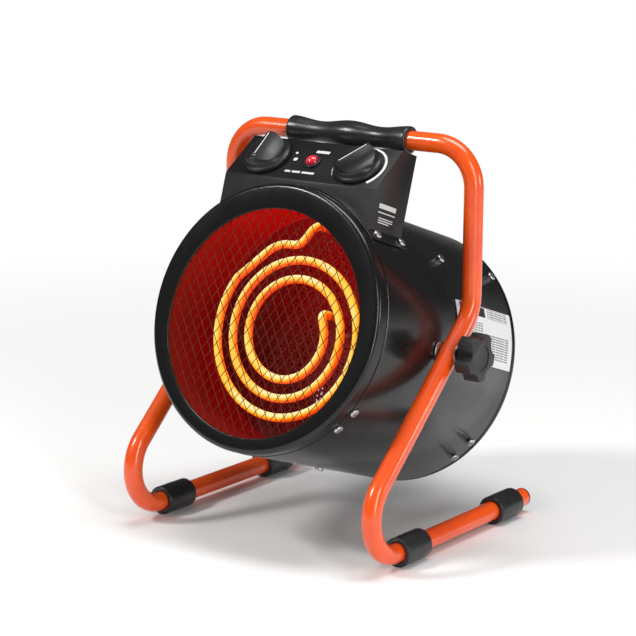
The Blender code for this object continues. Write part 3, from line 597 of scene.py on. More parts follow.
def printed_paint(colour):
    """The cover's enamel with its white print: a growing arc round one knob, two dots and plain bars."""
    finish = keep("printed_paint", Finish("printed_paint", Coat_Weight=0.1, Coat_Roughness=0.12, IOR=1.5,
                                          Specular_IOR_Level=0.38))
    spot = finish.place()
    cloud = finish.noise(spot, 22.0, 4.0).ramp(0.35, 0.70)
    x, y, z = finish.split(finish.place(PANEL))
    on_panel = z.between(-0.4 * MM, 0.4 * MM)
    across = x - KNOB_X
    away = (across * across + y * y).power(0.5)
    arc_lean, arc_sweep = 44.0, 257.0
    turn = (y.math("ARCTAN2", y, across) * (180 / pi) + arc_lean + 360.0)
    turn = (turn / 360.0).fraction() * 360.0
    grown = turn / arc_sweep
    marks = (turn < arc_sweep) * (away > 22.3 * MM) * (away < grown * -2.2 * MM + 25.0 * MM)
    for spot_x, spot_y, radius in ((-21.0, 9.0, 1.3), (-18.0, 1.5, 2.0)):
        dx, dy = x - spot_x * MM, y - spot_y * MM
        marks = marks + ((dx * dx + dy * dy).power(0.5) < radius * MM)
    for low, high, base, rise in ((-3.5, 9.5, 11.3, 3.0), (-20.0, -14.5, -14.3, 2.3),
                                  (-12.8, -4.8, -14.3, 2.3),
                                  (-3.2, 9.0, -14.3, 2.3)):
        marks = marks + x.between(low * MM, high * MM) * y.between(base * MM, (base + rise) * MM) * 0.9
    marks = marks * on_panel
    side_x, side_y, side_z = finish.split(finish.place(DRUM))
    wall = side_x > BOX_HALF - 0.4 * MM
    for near, far, low, high in ((24.0, 49.0, 101.6, 105.4), (24.0, 49.0, 98.0, 98.9),
                                 (26.0, 47.0, 93.6, 94.4),
                                 (26.0, 47.0, 91.8, 92.6), (26.0, 42.0, 90.0, 90.8)):
        marks = marks + wall * side_z.between(-far * MM,
                                              -near * MM) * side_y.between(low * MM, high * MM) * 0.8
    ink = marks.math("MINIMUM", marks, 1.0) * (cloud * -0.15 + 1.0)
    enamel = finish.mix(cloud * 0.55, colour, (0.010, 0.010, 0.011))
    finish.feed(Base_Color=finish.mix(ink, enamel, (0.75, 0.75, 0.75)),
                Roughness=cloud * 0.08 + ink * 0.15 + 0.30)
    finish.bump(finish.noise(spot, 420.0, 2.0), 0.04, 0.10 * MM)
    return finish


def lamp_glass():
    finish = keep("red_lens", Finish("red_lens", Roughness=0.08, IOR=1.49, Coat_Weight=1.0,
                                     Coat_Roughness=0.03,
                                     Emission_Strength=0.35))
    x, y = finish.split(finish.place(PANEL))[:2]
    rim = (x * x + y * y).power(0.5).ramp(2.2 * MM, 5.8 * MM)
    ribs = (x * 900.0).math("SINE", x * 900.0) * 0.5 + 0.5
    lamp = tuple(colours().lamp)
    finish.feed(Base_Color=finish.mix(rim, lamp, (0.20, 0.004, 0.012)),
                Emission_Color=finish.mix(rim * 0.7 + ribs * 0.3, (1.0, 0.08, 0.12), (0.35, 0.0, 0.01)))
    finish.bump(ribs, 0.15, 0.1 * MM)


def label_print():
    """The rating plate: pale film with plain bars for its lines of print."""
    finish = keep("label_film", Finish("label_film", Coat_Weight=0.3, Coat_Roughness=0.2))
    spot = finish.place(DRUM)
    x, y, z = finish.split(spot)
    round_way = x.math("ARCTAN2", x, y) * (180.0 / pi)
    deep = z * -1.0
    start, end = depths("rating_plate")
    along = (deep - start) / (end - start)
    down = (round_way - 63.5) / 25.5
    words = finish.noise(finish.scaled(spot, (0.0, 0.0, 1.0)), 700.0, 1.0) > 0.42
    lines = (down * 24.0).fraction() > 0.45
    body = lines * words
    heading = along.between(0.06, 0.52) * down.between(0.07, 0.24)
    left = along.between(0.07, 0.46) * down.between(0.34, 0.92)
    right = along.between(0.56, 0.93) * down.between(0.07,
                                                     0.24) + along.between(0.56,
                                                                           0.93) * down.between(0.5, 0.92)
    ink = heading + body * (left + right) * 0.75
    wear = finish.noise(spot, 90.0, 4.0)
    film = finish.mix(wear * 0.5, (0.80, 0.80, 0.80), (0.66, 0.66, 0.67))
    finish.feed(Base_Color=finish.mix(ink.math("MINIMUM", ink, 1.0), film, (0.03, 0.03, 0.03)),
                Roughness=wear * 0.2 + 0.32)
    finish.bump(wear, 0.05, 0.05 * MM)


def make_finishes():
    tone = colours()
    black = tuple(tone.black)
    paint("orange_paint", tuple(tone.orange), (0.70, 0.045, 0.004), 0.26, 0.08, 0.6)
    paint("black_paint", black, (0.006, 0.006, 0.007), 0.20, 0.03, 0.10, 0.38)
    moulded("black_rubber", tuple(tone.rubber), 0.22, 700.0, 0.08)
    moulded("black_plastic", (0.012, 0.012, 0.013), 0.36, 1100.0, 0.25)
    moulded("phenolic", (0.045, 0.022, 0.012), 0.45, 500.0, 0.3, 1.5)
    moulded("knob_plastic", (0.011, 0.011, 0.012), 0.30, 1500.0, 0.15)
    moulded("bushing_ceramic", (0.20, 0.04, 0.02), 0.60, 300.0, 0.4, 1.2)
    # Pale finish of the knobs' pointer strips: print, and a painted highlight along each ridge.
    moulded("white_print", (0.78, 0.78, 0.77), 0.45, 400.0, 0.1, 0.9)
    plated("zinc_steel", (0.74, 0.75, 0.77), 0.22, (1.0, 1.0, 6.0))
    plated("galvanised_steel", (0.50, 0.51, 0.53), 0.38, (1.0, 4.0, 1.0))
    plated("fan_aluminium", (0.70, 0.71, 0.72), 0.30, (5.0, 1.0, 1.0))
    # The guard wire's dark red tint is painted glow: steel wire coloured as if lit red by the element.
    plated("guard_wire", (0.22, 0.045, 0.03), 0.45, (1.0, 1.0, 3.0))
    # Liner and baffle are steel: their dark red base colour and red emission are painted glow from the
    # element.
    painted_glow_sheet("heated_liner", (0.10, 0.006, 0.004), (0.085, 0.0004, 0.0003), tuple(tone.glow_paint_colour))
    painted_glow_sheet("heated_baffle", (0.05, 0.006, 0.005), (0.035, 0.0004, 0.0004), (0.30, 0.001, 0.001))
    printed_paint(black)
    hot_tube()
    lamp_glass()
    label_print()


# ---- operators -------------------------------------------------------------------
class HEATER_OT_finishes(bpy.types.Operator):
    """Make the materials and put them on the CAD pieces that stay"""
    bl_idname = "heater.finishes"
    bl_label = "Finishes"

    kept = {
        "black_paint": ("control_box_back", "motor_body"),
        "galvanised_steel": ("motor_bracket", "thermal_cutout"),
        "zinc_steel": ("motor_shaft", "pivot_nut_left", "pivot_nut_right"),
        "black_plastic": ("cable_gland",),
        "phenolic": ("thermostat_body", "rotary_switch_body", "terminal_block"),
        "bushing_ceramic": ("element_bushing_inner", "element_bushing_outer"),
        "label_film": ("rating_plate",),
    }

    def execute(self, context):
        make_finishes()
        for finish, nodes in self.kept.items():
            for node in nodes:
                data = frame["nodes"][node].data
                data.materials.clear()
                data.materials.append(FINISHES[finish])
        return {"FINISHED"}


class HEATER_OT_stand(bpy.types.Operator):
    """Bend the stand's tube and close its two ends"""
    bl_idname = "heater.stand"
    bl_label = "Stand"

    def execute(self, context):
        size = sizes()
        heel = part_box("stand_tube")[1].y
        right = [(FOOT.x, heel, FOOT.z), (FOOT.x, size.toe, FOOT.z), (FOOT.x, BAR.y, size.knee),
                 (FOOT.x, BAR.y, BAR.z)]
        corners = right + [(-x, y, z) for x, y, z in reversed(right)]
        tube = drawn_tube("stand_tube_painted", corners[0], (0, -1, 0), bends(corners, size.bend), TUBE_R, 40)
        shape(tube, "SOLIDIFY", thickness=1.5 * MM, offset=-1.0)
        smooth(tube)
        dress(tube, "orange_paint", "stand", "orange_paint", "stand_tube")
        cap = TUBE_R - 0.1 * MM
        outline = [(0, 2.6 * MM), *arc((cap - 1.2 * MM, 1.4 * MM), 1.2 * MM, 90, 0), (cap, 0.2 * MM),
                   (TUBE_R - 1.9 * MM, 0.2 * MM), (TUBE_R - 2.1 * MM, -9 * MM), (0, -9 * MM)]
        plug = smooth(turned("tube_plug", outline, 40))
        for side, x in (("right", FOOT.x), ("left", -FOOT.x)):
            place = axes(Vector((x, heel, FOOT.z)), Vector((-1, 0, 0)), Vector((0, 0, 1)), Vector((0, 1, 0)))
            dress(copied(plug, f"tube_plug_{side}", place), "black_plastic", "stand", "black_plastic",
                  f"tube_end_plug_{side}")
        bpy.data.objects.remove(plug)
        return {"FINISHED"}


class HEATER_OT_feet(bpy.types.Operator):
    """Slip a rubber sleeve over each end of both feet"""
    bl_idname = "heater.feet"
    bl_label = "Foot sleeves"

    def execute(self, context):
        low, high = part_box("foot_sleeve_front_right")
        half = (high.y - low.y) / 2
        outer, edge, bore = FOOT.z + 0.1 * MM, 1.3 * MM, TUBE_R + 0.15 * MM
        swell = [(outer, -half * 0.4), (outer + 0.1 * MM, 0), (outer, half * 0.4)]
        outline = [(bore, -half + 1.0 * MM), (bore + 0.7 * MM, -half), *arc((outer - edge, edge - half),
                                                                            edge, -90, 0),
                   *swell, *arc((outer - edge, half - edge), edge, 0, 90), (bore + 0.7 * MM, half),
                   (bore, half - 1.0 * MM)]
        sleeve = turned("sleeve", outline, 64, closed=True)
        for side in ("right", "left"):
            for end in ("front", "rear"):
                node = f"foot_sleeve_{end}_{side}"
                place = axes(middle(node), Vector((-1, 0, 0)), Vector((0, 0, 1)), Vector((0, 1, 0)))
                foot = copied(sleeve, f"rubber_sleeve_{end}_{side}", place)
                open_mesh(foot)
                pick("verts", lambda spot, item: spot.z < 0.05 * MM)
                bpy.ops.transform.resize(value=(1, 1, 0), center_override=(0, 0, 0.02 * MM))
                close_mesh()
                dress(smooth(foot), "black_rubber", "stand", "black_rubber", node)
        bpy.data.objects.remove(sleeve)
        return {"FINISHED"}


class HEATER_OT_grip(bpy.types.Operator):
    """Turn the wavy rubber grip on the crossbar"""
    bl_idname = "heater.grip"
    bl_label = "Grip"

    def execute(self, context):
        low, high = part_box("handle_grip")
        half = (high.x - low.x) / 2
        full, wave, edge, bore = (high.z - low.z) / 2, sizes().grip_wave, 2.0 * MM, TUBE_R + 0.15 * MM
        outline = [(bore, -half + 0.5 * MM), (bore + 0.5 * MM, -half), *arc((full - edge, edge - half), edge,
                                                                            -90, 0)]
        for k in range(1, 48):
            along = -half + edge + 2 * (half - edge) * k / 48
            outline.append((full - wave * (0.5 - 0.5 * cos(2 * pi * along / half + 2 * pi)), along))
        outline += [*arc((full - edge, half - edge), edge, 0, 90), (bore + 0.5 * MM, half),
                    (bore, half - 0.5 * MM)]
        grip = turned("wavy_grip", outline, 56, closed=True)
        settle(grip, axes(BAR, Vector((0, 1, 0)), Vector((0, 0, 1)), Vector((1, 0, 0))))
        dress(smooth(grip, 50), "black_rubber", "stand", "black_rubber", "handle_grip")
        return {"FINISHED"}


class HEATER_OT_drum(bpy.types.Operator):
    """Turn the drum's shell and the ring that closes its front"""
    bl_idname = "heater.drum"
    bl_label = "Drum and ring"

    def execute(self, context):
        size = sizes()
        inner, hem, bead = DRUM_R - SHEET, 1.1 * MM, DRUM_END - 5.5 * MM
        outline = [(inner, -DRUM_START), (DRUM_R - 0.3 * MM, -DRUM_START), (DRUM_R, -DRUM_START - 0.3 * MM),
                   (DRUM_R, -bead + 0.9 * MM), (DRUM_R - 0.35 * MM, -bead + 0.3 * MM),
                   (DRUM_R - 0.35 * MM, -bead - 0.3 * MM),
                   (DRUM_R, -bead - 0.9 * MM), *arc((DRUM_R - hem, hem - DRUM_END), hem, 0, -180),
                   (DRUM_R - 2 * hem, -DRUM_END + 4 * MM), (inner - 0.2 * MM, -DRUM_END + 5 * MM),
                   (inner - 0.2 * MM, -DRUM_END + 6 * MM)]
        shell = turned("drum_casing", [(inner, -DRUM_START), *outline[1:-3], (inner, -DRUM_END + 5 * MM)],
                       size.sides, closed=True)
        settle(shell, DRUM)
        dress(smooth(shell), "black_paint", "drum", "black_paint", "drum_shell")
        edge, thick, lip = size.ring_edge, 2.2 * MM, 80 * MM
        side_end = 0.4 * MM - DRUM_START
        skirt = DRUM_R - SHEET - 0.5 * MM
        outline = [(lip, 0), *arc((RING_R - edge, -edge), edge, 90, 0, 10), (RING_R, side_end + 0.5 * MM),
                   (RING_R - 0.5 * MM, side_end), (skirt, side_end), (skirt, -0.028), (skirt - thick, -0.028),
                   (skirt - thick, -0.008), (skirt - 3 * thick, -thick), (lip, -thick)]
        ring = turned("mouth_ring", outline, size.sides, closed=True)
        alone()
        bpy.ops.mesh.primitive_cylinder_add(vertices=size.sides, radius=size.mouth, depth=20 * MM,
                                            location=(0, -size.mouth_drop, 0))
        cut(ring, named("mouth"))
        soften(ring, 0.7 * MM, 3, 60)
        settle(ring, DRUM)
        dress(smooth(ring, 28), "black_paint", "drum", "black_paint", "front_ring")
        return {"FINISHED"}


class HEATER_OT_rear(bpy.types.Operator):
    """Press the rear grille: round rings joined by short webs"""
    bl_idname = "heater.rear"
    bl_label = "Rear grille"

    rows = ((22, 38, 4, 12.0), (46, 66, 6, 8.0), (74, 96, 8, 6.0))

    def execute(self, context):
        start, end = depths("rear_grille")
        rim = girth("rear_grille")[1]
        sheet = 1.3 * MM
        back = sheet - end
        pieces = []
        limits = [0] + [limit * MM for low, high, *_ in self.rows for limit in (low, high)] + [rim]
        for near, far in zip(limits[::2], limits[1::2]):
            edge = 0.4 * MM
            if far < rim:
                outline = [(far, -end), (far, back - edge), (far - edge, back)]
            else:
                outline = [(far, -end), (far, -start), (far - sheet, -start), (far - sheet, back)]
            if near:
                outline += [(near + edge, back), (near, back - edge), (near, -end)]
            else:
                outline = [(0, -end), *outline, (0, back)]
            pieces.append(turned("ring", outline, sizes().sides, closed=near > 0))
        for low, high, count, web in self.rows:
            for k in range(count):
                turn = radians(360 * k / count + web / 2)
                width = 2 * (low + high) / 2 * MM * sin(radians(web / 2))
                alone()
                bpy.ops.mesh.primitive_cube_add(size=1, scale=(width, (high - low + 1.6) * MM, sheet),
                                                location=(0, (low + high) / 2 * MM, (back - end) / 2))
                web_piece = soften(named("web"), 0.3 * MM, 2, 40)
                pieces.append(settle(web_piece, Matrix.Rotation(-turn, 4, "Z")))
        grille = settle(joined("pressed_grille", pieces), DRUM)
        dress(smooth(grille, 35), "black_paint", "drum", "black_paint", "rear_grille")
        return {"FINISHED"}


class HEATER_OT_fan(bpy.types.Operator):
    """Press the fan's broad blades and turn its hub"""
    bl_idname = "heater.fan"
    bl_label = "Fan"

    blades, sweep = 5, radians(64)

    def execute(self, context):
        start, end = depths("fan_blade")
        tip, hub, sheet = girth("fan_blade")[1] - 0.2 * MM, 17 * MM, 1.0 * MM
        pitch = asin((end - start - 3 * sheet) / (2 * tip * sin(self.sweep / 2)))
        alone()
        bpy.ops.mesh.primitive_plane_add(size=1, rotation=(pi / 2, 0, 0))
        blade = named("blade")
        bpy.ops.transform.resize(value=(tip - hub + 3 * MM, 1, sheet))
        settle(blade, Matrix.Translation(((tip + hub - 3 * MM) / 2, 0, 0)))
        open_mesh(blade, "FACE")
        bpy.ops.mesh.spin(steps=14, angle=self.sweep, center=(0, 0, 0), axis=(0, 0, 1))
        close_mesh(tidy=True)
        open_mesh(blade)
        pick("edges", lambda spot, item: hypot(*spot.xy) > tip - MM and abs(spot.z) < 0.1 * MM
             and not MM < atan2(spot.y, spot.x) < self.sweep - MM)
        bpy.ops.mesh.bevel(offset=11 * MM, segments=6)
        close_mesh()
        settle(blade, Matrix.Rotation(pitch, 4, "X") @ Matrix.Rotation(-self.sweep / 2, 4, "Z"))
        pieces = [turned("hub", [(0, sheet - end), (hub - MM, sheet - end), (hub, 2 * sheet - end),
                                 (hub, -start - 2 * sheet), (hub - MM, -start - sheet), (0, -start - sheet)],
                         64)]
        for k in range(self.blades):
            around = Matrix.Rotation(2 * pi * k / self.blades, 4, "Z")
            pieces.append(copied(blade, "blade", Matrix.Translation((0, 0, -(start + end) / 2)) @ around))
        bpy.data.objects.remove(blade)
        fan = settle(joined("pressed_fan", pieces), DRUM)
        dress(smooth(fan, 35), "fan_aluminium", "fan", "fan_aluminium", "fan_blade")
        return {"FINISHED"}


class HEATER_OT_guard(bpy.types.Operator):
    """Weld the diamond mesh that guards the mouth"""
    bl_idname = "heater.guard"
    bl_label = "Mesh guard"

    def execute(self, context):
        size = sizes()
        start, end = depths("front_guard")
        reach_out = size.mouth + 1.6 * MM
        slant = atan2(size.mesh_width, size.mesh_height)
        apart = size.mesh_width * cos(slant)
        count = int(reach_out / apart)
        wires = []
        for lean in (slant, -slant):
            for k in range(-count, count + 1):
                off = apart * k
                chord = 2 * sqrt(reach_out ** 2 - off ** 2)
                alone()
                bpy.ops.mesh.primitive_cylinder_add(vertices=8, radius=size.mesh_wire / 2, depth=chord,
                                                    rotation=(pi / 2, 0, 0), location=(off, 0, 0))
                layer = Matrix.Translation((0, 0, size.mesh_wire * (0.3 if lean > 0 else -0.3)))
                wires.append(settle(named("wire"), layer @ Matrix.Rotation(lean, 4, "Z")))
        alone()
        bpy.ops.mesh.primitive_torus_add(major_radius=reach_out, minor_radius=1.2 * MM, major_segments=96,
                                         minor_segments=8)
        wires.append(named("hoop"))
        guard = joined("diamond_mesh", wires)
        settle(guard, DRUM @ Matrix.Translation((0, -size.mouth_drop, -(start + end) / 2)))
        dress(smooth(guard, 60), "guard_wire", "drum", "guard_wire", "front_guard")
        return {"FINISHED"}


class HEATER_OT_element(bpy.types.Operator):
    """Wind the tubular element: one leg, a flat coil, a lead and the other leg"""
    bl_idname = "heater.element"
    bl_label = "Element"

    centre = Vector((0.0061, -0.0098, 0))
    begins, turns, arcs = radians(60.6), 2.70, 12
    lead = ((-0.0240, 0.0642), (-0.0010, 0.0645), (0.0103, 0.0830))
    lead_bends = (0.0300, 0.0140, 0.0075)

    def execute(self, context):
        size = sizes()
        back = Vector((0, 0, -depths("heating_element")[1]))
        plane = Vector((0, 0, -(depths("heating_element")[0] + size.coil_tube)))
        bend = self.lead_bends[-1]
        turn = self.begins
        radial = Vector((sin(turn), cos(turn), 0))
        along = Vector((cos(turn), -sin(turn), 0))
        here = self.centre + radial * size.coil_start + plane
        corner = here - along * bend
        leg = corner.xy.to_3d() + back
        steps = bends([leg, corner, here], bend * 0.999)
        count = round(self.turns * self.arcs)
        for k in range(count):
            radius = size.coil_start + size.coil_pitch * (k + 0.5) / self.arcs
            middle_point = here - radial * radius
            sweep = 2 * pi / self.arcs
            steps.append(("arc", middle_point, Vector((0, 0, 1)), sweep))
            turn += sweep
            radial = Vector((sin(turn), cos(turn), 0))
            here = middle_point + radial * radius
        ends = [Vector((x, y, plane.z)) for x, y in self.lead]
        steps += bends([here, *ends, ends[-1].xy.to_3d() + back], self.lead_bends)
        coil = drawn_tube("glowing_element", leg, (0, 0, 1), steps, size.coil_tube, 20)
        open_mesh(coil)
        pick("edges", lambda spot, item: item.is_boundary)
        bpy.ops.mesh.edge_face_add()
        close_mesh(tidy=True)
        settle(coil, DRUM)
        dress(smooth(coil, 60), "hot_element", "drum", "hot_element", "heating_element")
        return {"FINISHED"}


class HEATER_OT_hot_zone(bpy.types.Operator):
    """Turn the liner round the element and punch the baffle behind it"""
    bl_idname = "heater.hot_zone"
    bl_label = "Liner and baffle"

    def execute(self, context):
        size = sizes()
        inner, rim = girth("heat_liner")
        start, end = depths("heat_liner")
        wall = 1.0 * MM
        outline = [(inner, -start), (inner + wall, -start), (inner + wall, wall - end), (rim, wall - end),
                   (rim, -end),
                   (inner, -end)]
        liner = settle(turned("red_liner", outline, size.sides, closed=True), DRUM)
        dress(smooth(liner), "heated_liner", "drum", "galvanised_steel", "heat_liner")
        plate_start, plate_end = depths("baffle_plate")
        reach_out = girth("baffle_plate")[1]
        pitch = size.hole_pitch
        alone()
        bpy.ops.mesh.primitive_circle_add(vertices=6, radius=pitch / sqrt(3), fill_type="NGON",
                                          rotation=(0, 0, pi / 6))
        plate = named("punched_baffle")
        open_mesh(plate, "FACE")
        bpy.ops.mesh.inset(thickness=pitch * size.hole_land)
        bpy.ops.mesh.delete(type="FACE")
        close_mesh()
        row = pitch * sqrt(3) / 2
        across = ceil(reach_out / pitch) * 2 + 2
        down = ceil(reach_out / row) + 1
        for offset, count in (((pitch, 0, 0), across), ((pitch / 2, row, 0), 2), ((0, 2 * row, 0), down)):
            shape(plate, "ARRAY", count=count, use_relative_offset=False, use_constant_offset=True,
                  constant_offset_displace=offset, use_merge_vertices=True, merge_threshold=0.01 * MM)
        settle(plate, Matrix.Translation((-(across - 0.5) * pitch / 2, -(down - 0.5) * row, 0)))
        open_mesh(plate)
        pick("faces", lambda spot, item: hypot(*spot.xy) > reach_out - 3.0 * MM)
        bpy.ops.mesh.delete(type="FACE")
        close_mesh()
        rim_piece = turned("baffle_rim", [(reach_out - 6.5 * MM, 0), (reach_out, 0)], 96)
        plate = joined("punched_baffle", [plate, rim_piece])
        shape(plate, "SOLIDIFY", thickness=plate_end - plate_start, offset=-1.0)
        settle(plate, DRUM @ Matrix.Translation((0, 0, -plate_start)))
        dress(plate, "heated_baffle", "drum", "galvanised_steel", "baffle_plate")
        return {"FINISHED"}


class HEATER_OT_control_box(bpy.types.Operator):
    """Fold the control box's cover and screw flanges"""
    bl_idname = "heater.control_box"
    bl_label = "Control box"

    def execute(self, context):
        start, end = depths("control_box_cover")
        top, foot, turn = reach("control_box_cover", UP, MOUTH)[1] + 1.6 * MM, 70 * MM, radians(5.0)
        half = BOX_HALF
        saddle = DRUM_R + 0.4 * MM
        alone()
        bpy.ops.mesh.primitive_cube_add(size=1, scale=(2 * half, top - foot, end - start),
                                        location=(0, (top + foot) / 2, -(start + end) / 2))
        box = named("folded_cover")
        slope = DRUM.inverted() @ PANEL
        open_mesh(box, "FACE")
        bpy.ops.mesh.bisect(plane_co=slope.translation, plane_no=slope.col[2].xyz, use_fill=True,
                            clear_outer=True)
        close_mesh(tidy=True)
        alone()
        bpy.ops.mesh.primitive_cylinder_add(vertices=256, radius=saddle, depth=0.2)
        cut(box, named("saddle"))
        open_mesh(box)
        pick("edges", lambda spot, item: abs(spot.x) > half - MM and spot.z < MM - end and spot.y > top - MM)
        bpy.ops.mesh.bevel(offset=4.0 * MM, segments=5)
        close_mesh()
        open_mesh(box)
        pick("faces", lambda spot, item: item.normal.z < -0.9 or item.normal.xy.dot(spot.xy) < -0.02)
        bpy.ops.mesh.delete(type="FACE")
        close_mesh()
        soften(box, 0.8 * MM, 3, 20)
        open_mesh(box, "FACE")
        pick("faces", lambda spot, item: True)
        bpy.ops.mesh.quads_convert_to_tris(quad_method="BEAUTY", ngon_method="BEAUTY")
        close_mesh()
        shape(box, "SOLIDIFY", thickness=SHEET, offset=-1.0)
        pieces = [box]
        for side in (1, -1):
            at = side * asin((half - SHEET) / saddle)
            alone()
            bpy.ops.mesh.primitive_plane_add(size=1, rotation=(pi / 2, 0, 0))
            flange = named("flange")
            alone(flange)
            bpy.ops.transform.resize(value=(SHEET, 1, end - start))
            settle(flange, Matrix.Rotation(pi / 2 - at, 4, "Z")
                   @ Matrix.Translation((DRUM_R + 1.2 * MM, 0, -(start + end) / 2)))
            open_mesh(flange, "FACE")
            bpy.ops.mesh.spin(steps=8, angle=side * turn * 1.15, center=(0, 0, 0), axis=(0, 0, 1))
            close_mesh(tidy=True)
            pieces.append(soften(flange, 0.3 * MM, 2, 40))
        box = settle(joined("folded_cover", pieces), DRUM)
        dress(smooth(box, 30), "printed_paint", "drum", "black_paint", "control_box_cover")
        return {"FINISHED"}


class HEATER_OT_controls(bpy.types.Operator):
    """Turn the two control knobs, scoop their grips, and fit the pilot lamp"""
    bl_idname = "heater.controls"
    bl_label = "Control knobs and lamp"

    def execute(self, context):
        skirt, body, top, crown = 20.5 * MM, 16.6 * MM, 15.6 * MM, 3.2 * MM
        outline = [(0, -13 * MM), (2.9 * MM, -13 * MM), (2.9 * MM, 0.8 * MM), (skirt - 0.3 * MM, 0.8 * MM),
                   (skirt, 1.1 * MM), (skirt, 3.0 * MM), *arc((skirt - 1.2 * MM, 3.0 * MM), 1.2 * MM, 0, 75,
                                                              4),
                   (body + 0.9 * MM, 6.0 * MM), (body + 0.2 * MM, 7.4 * MM), (body, 9 * MM),
                   *arc((body - crown, top - crown), crown, 0, 90, 6), (0, top)]
        for name, turn in (("thermostat", radians(-33)), ("switch", radians(3))):
            knob = turned(f"{name}_dial", outline, 96)
            for side in (1, -1):
                alone()
                bpy.ops.mesh.primitive_cylinder_add(vertices=72, radius=15.5 * MM, depth=60 * MM,
                                                    rotation=(pi / 2, 0, 0),
                                                    location=(side * 14.8 * MM, 0, 24.0 * MM))
                cut(knob, named("scoop"))
            soften(knob, 0.35 * MM, 2, 40)
            # The pale strip runs the ridge's whole length: a printed pointer mark stretched into a painted
            # highlight of the ridge's bright edge.
            pointer = self.pointer(top)
            for piece in (knob, pointer):
                settle(piece, self.place(name) @ Matrix.Rotation(turn, 4, "Z"))
            knob = joined(f"{name}_dial", [knob])
            dress(smooth(knob, 32), "knob_plastic", f"{name}_knob", "black_plastic", f"{name}_knob")
            pointer.name = pointer.data.name = f"{name}_pointer"
            dress(pointer, "white_print", f"{name}_knob")
        rim = 7.4 * MM
        holder = turned("lamp_bezel", [(0, -15 * MM), (5.2 * MM, -15 * MM), (5.2 * MM, 0.3 * MM),
                                       (rim, 0.3 * MM),
                                       *arc((rim - 0.7 * MM, 1.3 * MM), 0.7 * MM, 0, 90, 4),
                                       (5.9 * MM, 2.0 * MM),
                                       (5.6 * MM, 1.4 * MM), (0, 1.4 * MM)], 48)
        dress(smooth(settle(holder, PANEL)), "black_plastic", "drum", "black_plastic", "pilot_lamp_holder")
        lens = turned("lamp_jewel", [(0, 1.6 * MM), (5.4 * MM, 1.6 * MM), (5.4 * MM, 2.6 * MM),
                                     *arc((0, -1.2 * MM), 6.6 * MM, 35, 84, 8), (0, 5.4 * MM)], 40)
        dress(smooth(settle(lens, PANEL), 50), "red_lens", "drum", "red_lens", "pilot_lamp_lens")
        return {"FINISHED"}

    @staticmethod
    def place(name):
        joint = JOINTS[f"{name}_turn"]
        return axes(Vector(joint["pos_m"]), RIGHT, KNOB_OUT.cross(RIGHT), KNOB_OUT)

    # A pale strip on the knob's ridge: pointer print and painted highlight in one.
    @staticmethod
    def pointer(top):
        alone()
        bpy.ops.mesh.primitive_cube_add(size=1, scale=(0.8 * MM, 26.0 * MM, 0.30 * MM), location=(0, 0, top))
        return soften(named("pointer"), 0.12 * MM, 2)


class HEATER_OT_clamps(bpy.types.Operator):
    """Cut the star knobs with their studs, and turn the washers and spacers"""
    bl_idname = "heater.clamps"
    bl_label = "Side clamps"

    lobes, lean = 5, radians(-20)

    def execute(self, context):
        for side, sign in (("right", 1), ("left", -1)):
            tilt = axes(PIVOT, -UP * sign, UP.cross(RIGHT) * -1.0, Vector((sign, 0, 0)))
            low, high = reach(f"star_knob_{side}", Vector((sign, 0, 0)), PIVOT)
            radius, head = 19.5 * MM, 136.2 * MM
            alone()
            bpy.ops.mesh.primitive_cylinder_add(vertices=120, radius=radius, depth=high - head,
                                                location=(0, 0, (high + head) / 2))
            star = named(f"star_{side}")
            for k in range(self.lobes):
                turn = self.lean + 2 * pi * (k + 0.5) / self.lobes
                alone()
                bpy.ops.mesh.primitive_cylinder_add(vertices=64, radius=11.0 * MM, depth=60 * MM,
                                                    location=(25.9 * MM * cos(turn), 25.9 * MM * sin(turn),
                                                              high))
                cut(star, named("scallop"))
            alone()
            bpy.ops.mesh.primitive_cylinder_add(vertices=64, radius=10.5 * MM, depth=2 * MM,
                                                location=(0, 0, high + 0.3 * MM))
            cut(star, named("dish"))
            soften(star, 1.3 * MM, 4, 40)
            neck = 130.4 * MM
            stud = turned("stud", [(0, low), (3.2 * MM, low), (3.85 * MM, low + 0.6 * MM), (3.85 * MM, neck),
                                   (6.8 * MM, neck), (8.2 * MM, head + 0.3 * MM), (8.2 * MM, head + 4 * MM),
                                   (0, head + 4 * MM)], 40)
            cut(star, stud, "UNION")
            settle(star, tilt)
            dress(smooth(star, 40), "knob_plastic", f"star_knob_{side}", "black_plastic", f"star_knob_{side}")
            for kind, body in (("clamp_washer", f"star_knob_{side}"), ("pivot_spacer", "drum")):
                node = f"{kind}_{side}"
                near, far = reach(node, Vector((sign, 0, 0)), PIVOT)
                bore, rim, edge = 4.2 * MM, 8.5 * MM, 0.25 * MM
                disc = turned(f"{kind}_turned_{side}", [(bore, near), (rim - edge, near), (rim, near + edge),
                                                        (rim, far - edge), (rim - edge, far), (bore, far)],
                              48, True)
                dress(smooth(settle(disc, tilt)), "zinc_steel", body, "zinc_steel", node)
        return {"FINISHED"}


